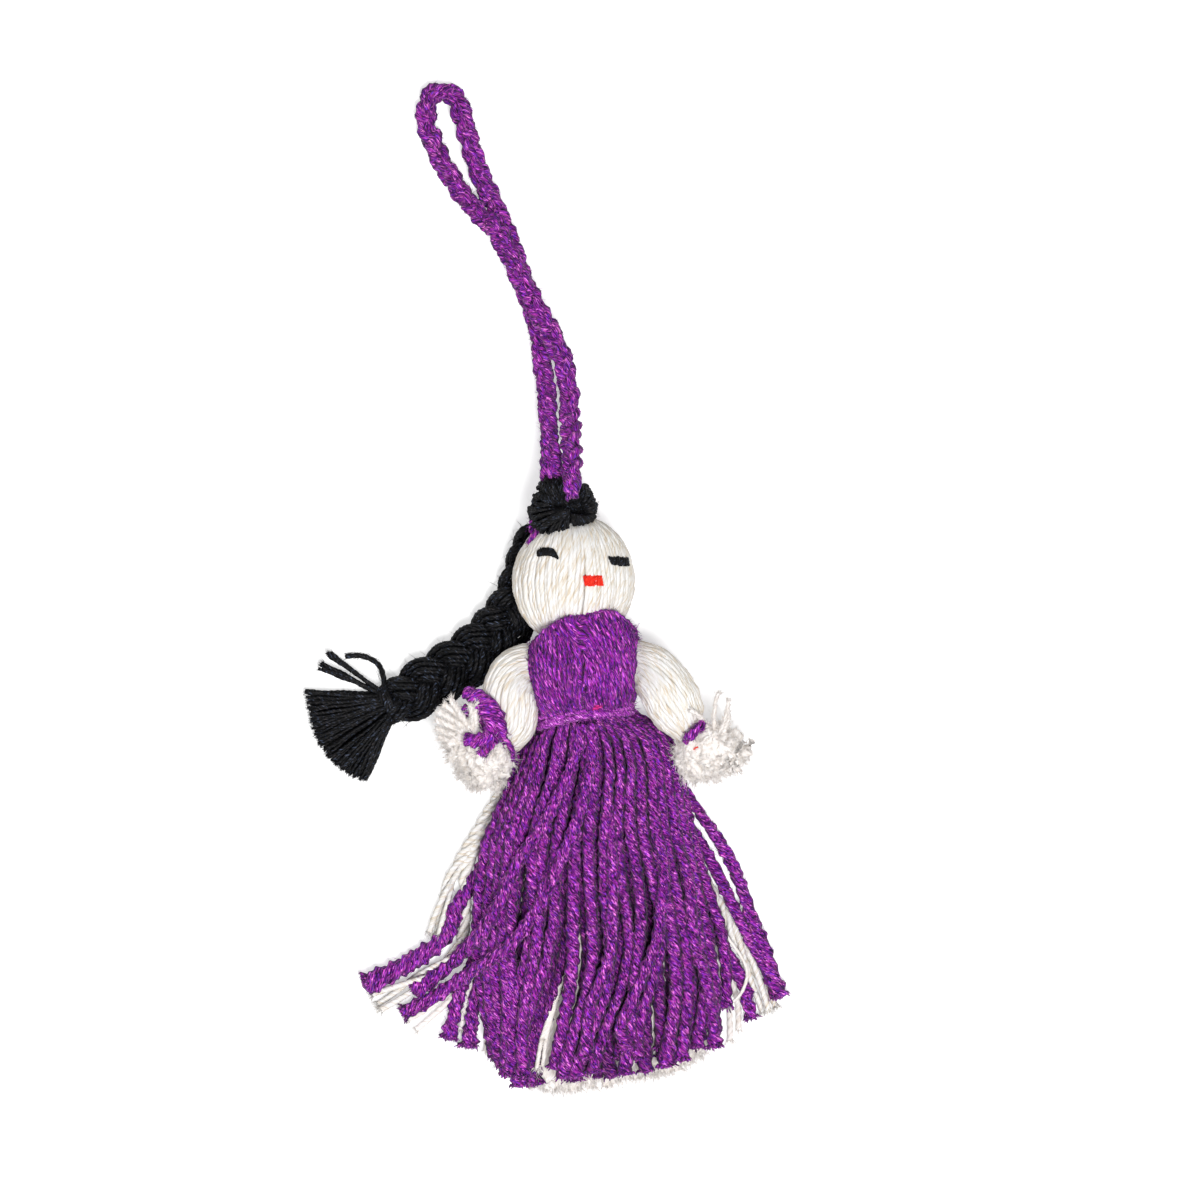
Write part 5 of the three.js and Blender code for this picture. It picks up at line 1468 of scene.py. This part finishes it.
tie_low, tie_high = box_mm("plait_tie")
plait_tie_centre = np.append(plait_route[-1, :2], (tie_low[2] + tie_high[2]) / 2)
plait_heading = np.arctan2(plait_tangent[-1, 1], plait_tangent[-1, 0])
PLAIT_TIE_YARN = 0.42
plait_tie_paths = wound(
    plait_tie_centre, 3.3, 2.3, plait_heading, 3.2, 1.5, PLAIT_TIE_YARN, 150
)
plait_tie_shape = hairy_yarns(
    plait_tie_paths, PLAIT_TIE_YARN, (80, 1.3, 0.035), plies=2, pitch=2.4, sides=8
)
make_piece("plait_tie_thread", plait_tie_shape, black, "plait_body", "black_yarn", "plait_tie")
TAIL = [
    (-36.3, 8.0, 3.0), (-36.25, 9.3, 2.9), (-36.3, 10.2, 2.2), (-36.5, 11.4, 1.1), (-37.0, 12.6, 0.6),
    (-38.1, 13.7, 0.45), (-40.2, 14.7, 0.45), (-42.9, 14.85, 0.45),
]
tail_path = smooth(TAIL, 40)[None]
tail_shape = hairy_yarns(tail_path, 0.55, (90, 1.3, 0.035), plies=2, pitch=3.0, sides=10)
make_piece("plait_tie_tail_thread", tail_shape, black, "plait_body", "black_yarn", "plait_tie_tail")

# %% [markdown]
# The tassel is the plait's own cut ends, spread like a brush on the table.

# %%
TASSEL_YARNS = 176
TASSEL_YARN = 0.34
TASSEL_DIRECTION = 201
TASSEL_HALF_FAN = 47
TASSEL_REACH = 14.2
ROOT_BEND = 5.0  # the distance from the tie to the second point kept in `bend`
STRAYS_EACH = 11  # yarns in each of the two bunches above the rest
stray_angles = np.radians(
    np.r_[rng.normal(134, 0.9, STRAYS_EACH), rng.normal(144.4, 1.1, STRAYS_EACH)]
)
strays = slice(0, len(stray_angles))
place = np.linspace(-1, 1, TASSEL_YARNS) + rng.uniform(-0.03, 0.03, TASSEL_YARNS)
tassel_angle = np.radians(TASSEL_DIRECTION + TASSEL_HALF_FAN * place)
tassel_reach = TASSEL_REACH + 1.4 * np.exp(-(((place + 0.9) / 0.25) ** 2))
tassel_reach = tassel_reach + rng.uniform(-0.7, 0.5, TASSEL_YARNS)
tassel_angle[strays] = stray_angles
tassel_reach[strays] = rng.uniform(13.6, 14.6, len(stray_angles))
tassel_angle, tassel_reach = tassel_angle[:, None], tassel_reach[:, None]
tassel_v = np.linspace(0, 1, 28)[None]
root = np.clip(-2.4 * place[:, None], -2.4, 2.4) + rng.uniform(-0.5, 0.5, (TASSEL_YARNS, 1))
from_middle = root * (1 - tassel_v)
from_middle[strays] *= 0.8
layer = rng.uniform(-1, 1, (TASSEL_YARNS, 1))
layer[strays] *= 0.4
bulge = np.sin(np.pi * np.clip(tassel_v * 0.85 + 0.06, 0, 1)) ** 0.6
thick = np.sqrt(1 - 0.6 * np.clip(place, -1, 1) ** 2)[:, None]
out = tassel_reach * tassel_v
wander = waves(TASSEL_YARNS, tassel_v, 0.25) * tassel_v
tie_x, tie_y, tie_z = plait_tie_centre
tassel_x = tie_x + out * np.cos(tassel_angle) + from_middle * np.sin(plait_heading)
tassel_x = tassel_x - wander * np.sin(tassel_angle)
tassel_y = tie_y + out * np.sin(tassel_angle) - from_middle * np.cos(plait_heading)
tassel_y = tassel_y + wander * np.cos(tassel_angle)
tassel_z = tie_z + layer * (0.5 + 1.7 * bulge) * thick - 0.5 * tassel_v
tassel_paths = off_table(np.stack([tassel_x, tassel_y, tassel_z], axis=-1), TASSEL_YARN)
tassel_shape = hairy_yarns(
    tassel_paths, TASSEL_YARN, (600, 1.5, 0.03, 1.0), [(8, 0.7, 0.5, 0.035)],
    pitch=2.2, flank=0.7, **BLACK_LOOK,
)
straight = np.radians(TASSEL_DIRECTION)
bend_end = plait_tie_centre + ROOT_BEND * np.array([np.cos(straight), np.sin(straight), 0])
bend = ("plait_body", plait_tie_centre, bend_end)
make_piece(
    "tassel_yarns", tassel_shape, black, "tassel_body", "black_yarn", "tassel", bend=bend
)

# %% [markdown]
# ## Arms
#
# Each arm is a cream hank that leaves the side of the chest almost as wide as it gets, and is bound
# at the wrist. Past the wrist its yarns are cut and brushed out into a soft hand.

# %%
ARM_WIDTH = 9.7
ARM_DEPTH = 8.4
ARM_ROUTES = {
    "left": [
        (-7.2, 10.6), (-9.6, 10.2), (-12.0, 8.9), (-13.5, 6.2), (-13.8, 2.9), (-13.8, 0.0),
        (-14.5, -2.2), (-15.9, -3.3),
    ],
    "right": [
        (7.4, 10.2), (9.8, 8.8), (12.1, 7.2), (14.2, 4.2), (15.6, 0.8), (16.8, -2.2), (17.6, -4.2),
        (18.1, -5.2),
    ],
}
# Shares of the way along, then width and depth as shares of the greatest.
ARM_SIZE_SHARES = np.array([
    [0, 0.6, 0.5],
    [0.12, 0.8, 0.72],
    [0.3, 0.96, 0.92],
    [0.45, 1, 1],
    [0.65, 1.06, 1],
    [0.82, 0.9, 0.9],
    [0.92, 0.64, 0.74],
    [1, 0.48, 0.56],
])
ARM_YARNS = 44
ARM_YARN = 0.5
ARM_POINTS = 60
ARM_LOOK = {"plies": 2, "pitch": 7.5, "groove": 0.22, "sides": 10, "lumps": 0.06, "flank": 0.7}
SHOULDER_DROP = 2.6
arm_low, arm_high = box_mm("left_arm")
arm_z = (arm_low[2] + arm_high[2]) / 2


def arm_paths(side, count, depth):
    """Yarns of an arm, `depth` under the hank's surface. They turn round it a little as they go."""
    sign = -1 if side == "left" else 1
    route = laid(ARM_ROUTES[side], arm_z, ARM_POINTS)
    v = np.linspace(0, 1, ARM_POINTS)[None]
    wide, deep = columns_at(ARM_SIZE_SHARES, v)
    across = unit(np.cross(unit(np.gradient(route, axis=0)), [0, 0, 1]))
    a = (TURN * (np.arange(count) + rng.uniform(-0.15, 0.15, count)) / count)[:, None]
    a = a + sign * 0.55 * v + drift(a, v, 0.1) + waves(count, v, 0.02)
    sunk = depth + waves(count, v, 0.1)
    x = (ARM_WIDTH / 2 * wide - sunk) * np.cos(a)
    z = (ARM_DEPTH / 2 * deep - sunk) * np.sin(a)
    low = -SHOULDER_DROP * np.clip(1 - v / 0.5, 0, 1)
    return route + x[..., None] * across + (z + low)[..., None] * np.array([0, 0, 1])


HAND_YARN = 0.72
HAND_YARNS = 270
HAND_POINTS = 16
HAND_FLOOR = 6.9  # the left hand passes over the plait when its arm swings up
HAND_ROOT = 1.9
GOLDEN = 0.618  # steps of this share of the fan spread its yarns evenly


def pompon(centre, fan, depth, count, blunt, narrowest):
    """Cut yarns brushed out from a tie. `fan` pairs directions in degrees with reaches. The share q
    of the height runs from -1 to 1, and a yarn reaches (1 - q^2)^blunt of its direction's reach."""
    degrees, reaches = np.array(fan).T
    q = rng.uniform(-1, 1, (count, 1))
    share = (np.arange(count)[:, None] * GOLDEN + 0.1 * rng.uniform(-1, 1, (count, 1))) % 1
    turned = degrees[0] + (degrees[-1] - degrees[0]) * share
    heading = np.radians(turned)
    length = np.interp(turned, degrees, reaches) * (1 - q * q) ** blunt
    length = length * rng.uniform(narrowest, 1, (count, 1))
    v = np.linspace(0, 1, HAND_POINTS)[None]
    middle = np.radians(degrees.mean())
    start = HAND_ROOT * (2 * share - 1) * np.sqrt(1 - q * q)
    bend = heading + 0.3 * waves(count, v, 1.0) * v
    run = length * v
    x = centre[0] - start * np.sin(middle) * (1 - v) + run * np.cos(bend)
    y = centre[1] + start * np.cos(middle) * (1 - v) + run * np.sin(bend)
    z = centre[2] + q * (2.0 + (depth - 2.0) * np.sin(np.pi / 2 * v) ** 0.8)
    return off_table(np.stack([x, y, z], axis=-1), HAND_FLOOR)


# For each hand: where it starts, its fan, its half-depth, how rounded it is, and its shortest share.
HANDS = {
    "left": (
        (-17.4, -2.4, 10.1),
        [(150, 8.8), (184, 9.0), (201, 8.2), (229, 9.4), (244, 9.6), (261, 9.4), (280, 6.8), (296, 4.0)],
        4.0, 0.42, 0.88,
    ),
    "right": (
        (18.9, -5.2, 9.8),
        [(-142, 2.8), (-106, 7.6), (-88, 8.8), (-58, 8.6), (-43, 10.2), (-27, 10.6), (-16, 7.6), (6, 3.8)],
        3.6, 0.3, 0.86,
    ),
}
# Strands of the wrist bindings that show: radius and points.
LEFT_KNOT = [
    (1.3, [
        (-21.3, 6.3, 12.0), (-19.7, 5.6, 12.9), (-18.1, 4.6, 13.8), (-16.7, 3.3, 14.4),
        (-16.1, 1.6, 14.7), (-15.9, -0.4, 14.6), (-15.7, -1.8, 14.2),
    ]),
    (0.45, [
        (-15.9, -0.6, 14.6), (-15.2, -2.2, 14.4), (-14.4, -3.9, 13.4), (-14.1, -5.2, 12.0),
        (-14.2, -6.5, 10.4),
    ]),
    (1.4, [
        (-19.0, 3.9, 13.2), (-17.8, 2.2, 14.4), (-17.3, 0.3, 14.9), (-17.6, -1.5, 14.7),
        (-18.0, -2.6, 14.0),
    ]),
    (1.15, [(-16.4, -0.8, 14.0), (-18.2, -2.0, 15.0), (-20.2, -2.3, 14.9), (-22.2, -1.9, 14.2)]),
    (1.15, [(-16.9, -1.9, 13.8), (-18.2, -3.3, 14.7), (-19.6, -4.9, 14.1)]),
    (0.85, [(-22.3, 3.4, 11.6), (-20.6, 2.4, 12.3), (-18.6, 1.2, 12.6)]),
]
RIGHT_KNOT = [(0.8, [
    (17.0, -6.0, 13.2), (17.7, -5.4, 13.9), (18.8, -4.5, 14.1), (19.8, -3.7, 13.9), (20.3, -3.3, 13.4),
])]
# White ends beside the knots: radius and points.
LEFT_ENDS = [
    (0.55, [(-21.0, -0.4, 13.4), (-22.2, 1.6, 13.4), (-23.3, 3.7, 12.9), (-24.2, 5.6, 12.3)]),
    (0.5, [(-20.2, 0.2, 14.0), (-20.0, 2.4, 14.2), (-19.4, 4.5, 13.9)]),
    (0.5, [(-20.6, 0.0, 14.0), (-20.5, 2.4, 14.0), (-20.8, 4.0, 13.7)]),
    (0.55, [(-21.0, -1.0, 13.6), (-23.4, 1.2, 13.2), (-26.6, 3.4, 12.0)]),
    (0.55, [(-21.4, -1.6, 13.6), (-23.9, 0.2, 13.1), (-27.2, 2.0, 11.8)]),
    (0.55, [(-21.6, -2.2, 13.4), (-24.2, -1.0, 12.8), (-27.3, 0.4, 11.6)]),
    (0.55, [(-20.6, -1.0, 12.0), (-22.6, 1.6, 11.8), (-25.6, 4.6, 11.0)]),
    (0.55, [(-21.6, -3.0, 13.0), (-24.4, -2.2, 12.2), (-27.0, -1.2, 11.0)]),
]
RIGHT_ENDS = [
    (0.4, [(18.4, -0.6, 14.2), (19.6, -1.6, 14.0), (20.6, -2.9, 13.3), (21.3, -4.6, 12.5)]),
    (0.4, [
        (21.6, -6.4, 12.8), (22.3, -4.6, 13.0), (22.5, -2.6, 12.8), (22.9, -0.1, 12.4),
        (23.7, 1.9, 12.0),
    ]),
    (0.36, [(22.2, -6.2, 12.6), (23.5, -4.6, 12.7), (24.6, -2.4, 12.5), (25.4, 0.4, 12.0)]),
    (0.36, [(22.6, -6.6, 12.4), (24.2, -4.8, 12.5), (25.0, -3.0, 12.2), (25.2, -1.6, 12.0)]),
    (0.4, [(19.6, -7.4, 13.2), (20.4, -6.2, 13.8), (21.6, -5.6, 13.6), (22.8, -6.0, 13.0)]),
]
KNOTS = {"left": LEFT_KNOT, "right": RIGHT_KNOT}
WHITE_ENDS = {"left": LEFT_ENDS, "right": RIGHT_ENDS}
TIE_RINGS = {"left": (2.9, 0.95, 1.6), "right": (2.3, 0.65, 0.0)}  # radius, yarn and spread


def strand_shapes(strands, plies, pitch, tuft, hand=1):
    """Short strands along their own points, each with brushes of fibre at both ends."""
    look = {"plies": plies, "pitch": pitch, "hand": hand, "groove": 0.2, "sides": 12, "lumps": 0.22}
    shapes = []
    for radius, points in strands:
        path = smooth(points, 26)[None]
        shapes.append(yarns(path, radius, **look))
        shapes.append(tufts(path, radius, 40, tuft, spread=0.8))
        shapes.append(tufts(path, radius, 30, 0.6 * tuft, spread=0.8, end=0))
        shapes.append(fuzz(path, radius, 110, 1.2))
    return shapes


for side, (start, fan, depth, blunt, shortest) in HANDS.items():
    body = f"{side}_arm_body"
    paths = arm_paths(side, ARM_YARNS, 0.45)
    radius = ARM_YARN * rng.uniform(0.88, 1.12, (ARM_YARNS, 1))
    arm_shape = joined(
        yarns(paths, radius, **ARM_LOOK),
        yarns(arm_paths(side, 24, 1.4), 0.95, plies=2, pitch=5.0, groove=0.1, sides=7),
        fuzz(paths, ARM_YARN, 300, 1.2, 0.03, 0.5),
    )
    make_piece(f"{side}_arm_yarns", arm_shape, cream, body, "cream_cotton", f"{side}_arm")
    low, high = box_mm(f"{side}_wrist_tie")
    ring_radius, ring_yarn, ring_spread = TIE_RINGS[side]
    arm_middle = paths.mean(axis=0)
    towards = arm_middle[-1] - arm_middle[-8]
    heading = np.arctan2(towards[1], towards[0])
    ring = wound(
        (low + high) / 2, ring_radius, ring_radius, heading, 2.1, ring_spread, ring_yarn, 110, 0.8
    )
    tie_shape = joined(
        hairy_yarns(ring, ring_yarn, (120, 1.2), plies=3, pitch=6, sides=12, hand=-1, lumps=0.12),
        *strand_shapes(KNOTS[side], 1, 6.5, 0.8, -1),
    )
    make_piece(f"{side}_wrist_yarn", tie_shape, purple, body, "purple_yarn", f"{side}_wrist_tie")
    cut = pompon(start, fan, depth, HAND_YARNS, blunt, shortest)
    ends = strand_shapes(WHITE_ENDS[side], 2, 3.0, 1.0)
    radius = HAND_YARN * np.linspace(0.8, 1.15, HAND_POINTS)
    hand_shape = joined(
        yarns(cut, radius, plies=2, pitch=3.0, groove=0.14, sides=7, lumps=0.1),
        tufts(cut, HAND_YARN * 1.4, 15, 1.9, spread=1.3, thickness=0.042),
        fuzz(cut, HAND_YARN, 1000, 1.8, 0.04, 1.2),
        *ends,
    )
    make_piece(f"{side}_hand_yarns", hand_shape, fluff, body, "cream_cotton", f"{side}_hand")

red_fibre = smooth([(18.2, -7.9, 13.2), (18.5, -7.5, 13.9), (19.1, -7.3, 13.8)], 14)[None]
red_shape = yarns(red_fibre, 0.14, plies=2, pitch=1.2, sides=8)
make_piece("red_fibre", red_shape, red, "right_arm_body", "red_thread")

# %% [markdown]
# ## The wadding ball
#
# The CAD ball inside the head stays, with a loose fibrous material.

# %%
wadding = bpy.data.materials.new("loose_wadding")
n = Nodes(wadding)
coordinates = n.add("ShaderNodeTexCoord").outputs["Object"]
clumps = n.add(
    "ShaderNodeTexNoise", {"Vector": coordinates, "Scale": 600.0, "Detail": 4.0}
).outputs["Fac"]
wadding_colour = n.ramp(clumps, [(0.3, (0.72, 0.7, 0.64)), (0.7, (0.88, 0.87, 0.82))])
wadding_relief = n.add("ShaderNodeBump", {"Strength": 0.6, "Distance": 0.0004, "Height": clumps})
n.feed(n.shader, {
    "Base Color": wadding_colour,
    "Normal": wadding_relief.outputs[0],
    "Roughness": 1.0,
})
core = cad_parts["head_core"]
core.data.materials.clear()
core.data.materials.append(wadding)
print("wadding on", core.name)

# %% [markdown]
# ## Table and light
#
# A white table and soft light from above. Where the camera sees the table, straight or by way of a
# mirror or clear glass, it gives some light of its own, so that it comes out white and keeps only the
# faintest shadows. Sizes and places here are in metres.

# %%
TABLE_SIZE = 4.0
TABLE_GAP = 0.0001  # keeps the table clear of what lies on it
TABLE_GLOW = 0.45
WORLD_LIGHT = 0.32
table_mesh = bpy.data.meshes.new("table")
half = TABLE_SIZE / 2
table_corners = [(-half, -half, 0), (half, -half, 0), (half, half, 0), (-half, half, 0)]
table_mesh.from_pydata(table_corners, [], [(0, 1, 2, 3)])
table = bpy.data.objects.new("table", table_mesh)
table.location = (0, 0, min(0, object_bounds()[0][2]) - TABLE_GAP)
bpy.context.scene.collection.objects.link(table)
white = bpy.data.materials.new("white_table")
n = Nodes(white)
n.feed(n.shader, {"Base Color": (0.8, 0.8, 0.8, 1), "Roughness": 1.0, "Specular IOR Level": 0.0})
rays = n.add("ShaderNodeLightPath").outputs
bent = n.math("MAXIMUM", rays["Is Glossy Ray"], rays["Is Transmission Ray"])
seen = n.math("MAXIMUM", rays["Is Camera Ray"], bent)
glow = n.add("ShaderNodeEmission", {"Strength": n.math("MULTIPLY", seen, TABLE_GLOW)})
both = n.add("ShaderNodeAddShader", {0: n.shader.outputs[0], 1: glow.outputs[0]})
n.feed(n.tree.nodes["Material Output"], {"Surface": both.outputs[0]})
table_mesh.materials.append(white)

world = bpy.data.worlds.new("studio")
world.use_nodes = True
background = world.node_tree.nodes["Background"]
background.inputs["Color"].default_value = (1, 1, 1, 1)
background.inputs["Strength"].default_value = WORLD_LIGHT
bpy.context.scene.world = world


def soft_light(name, place, aim, size, power):
    """A round lamp that looks from its place at its aim."""
    data = bpy.data.lights.new(name, "AREA")
    data.shape = "DISK"
    data.size = size
    data.energy = power
    light = bpy.data.objects.new(name, data)
    light.location = place
    light.rotation_euler = (Vector(aim) - Vector(place)).to_track_quat("-Z", "Y").to_euler()
    bpy.context.scene.collection.objects.link(light)


DOLL_MIDDLE = (0, 0.02, 0.01)
soft_light("key", (0.16, -0.3, 1.0), DOLL_MIDDLE, 0.4, 10)
soft_light("fill", (-0.6, 0.35, 0.8), DOLL_MIDDLE, 0.8, 2.8)
bpy.context.scene.view_settings.view_transform = "Standard"
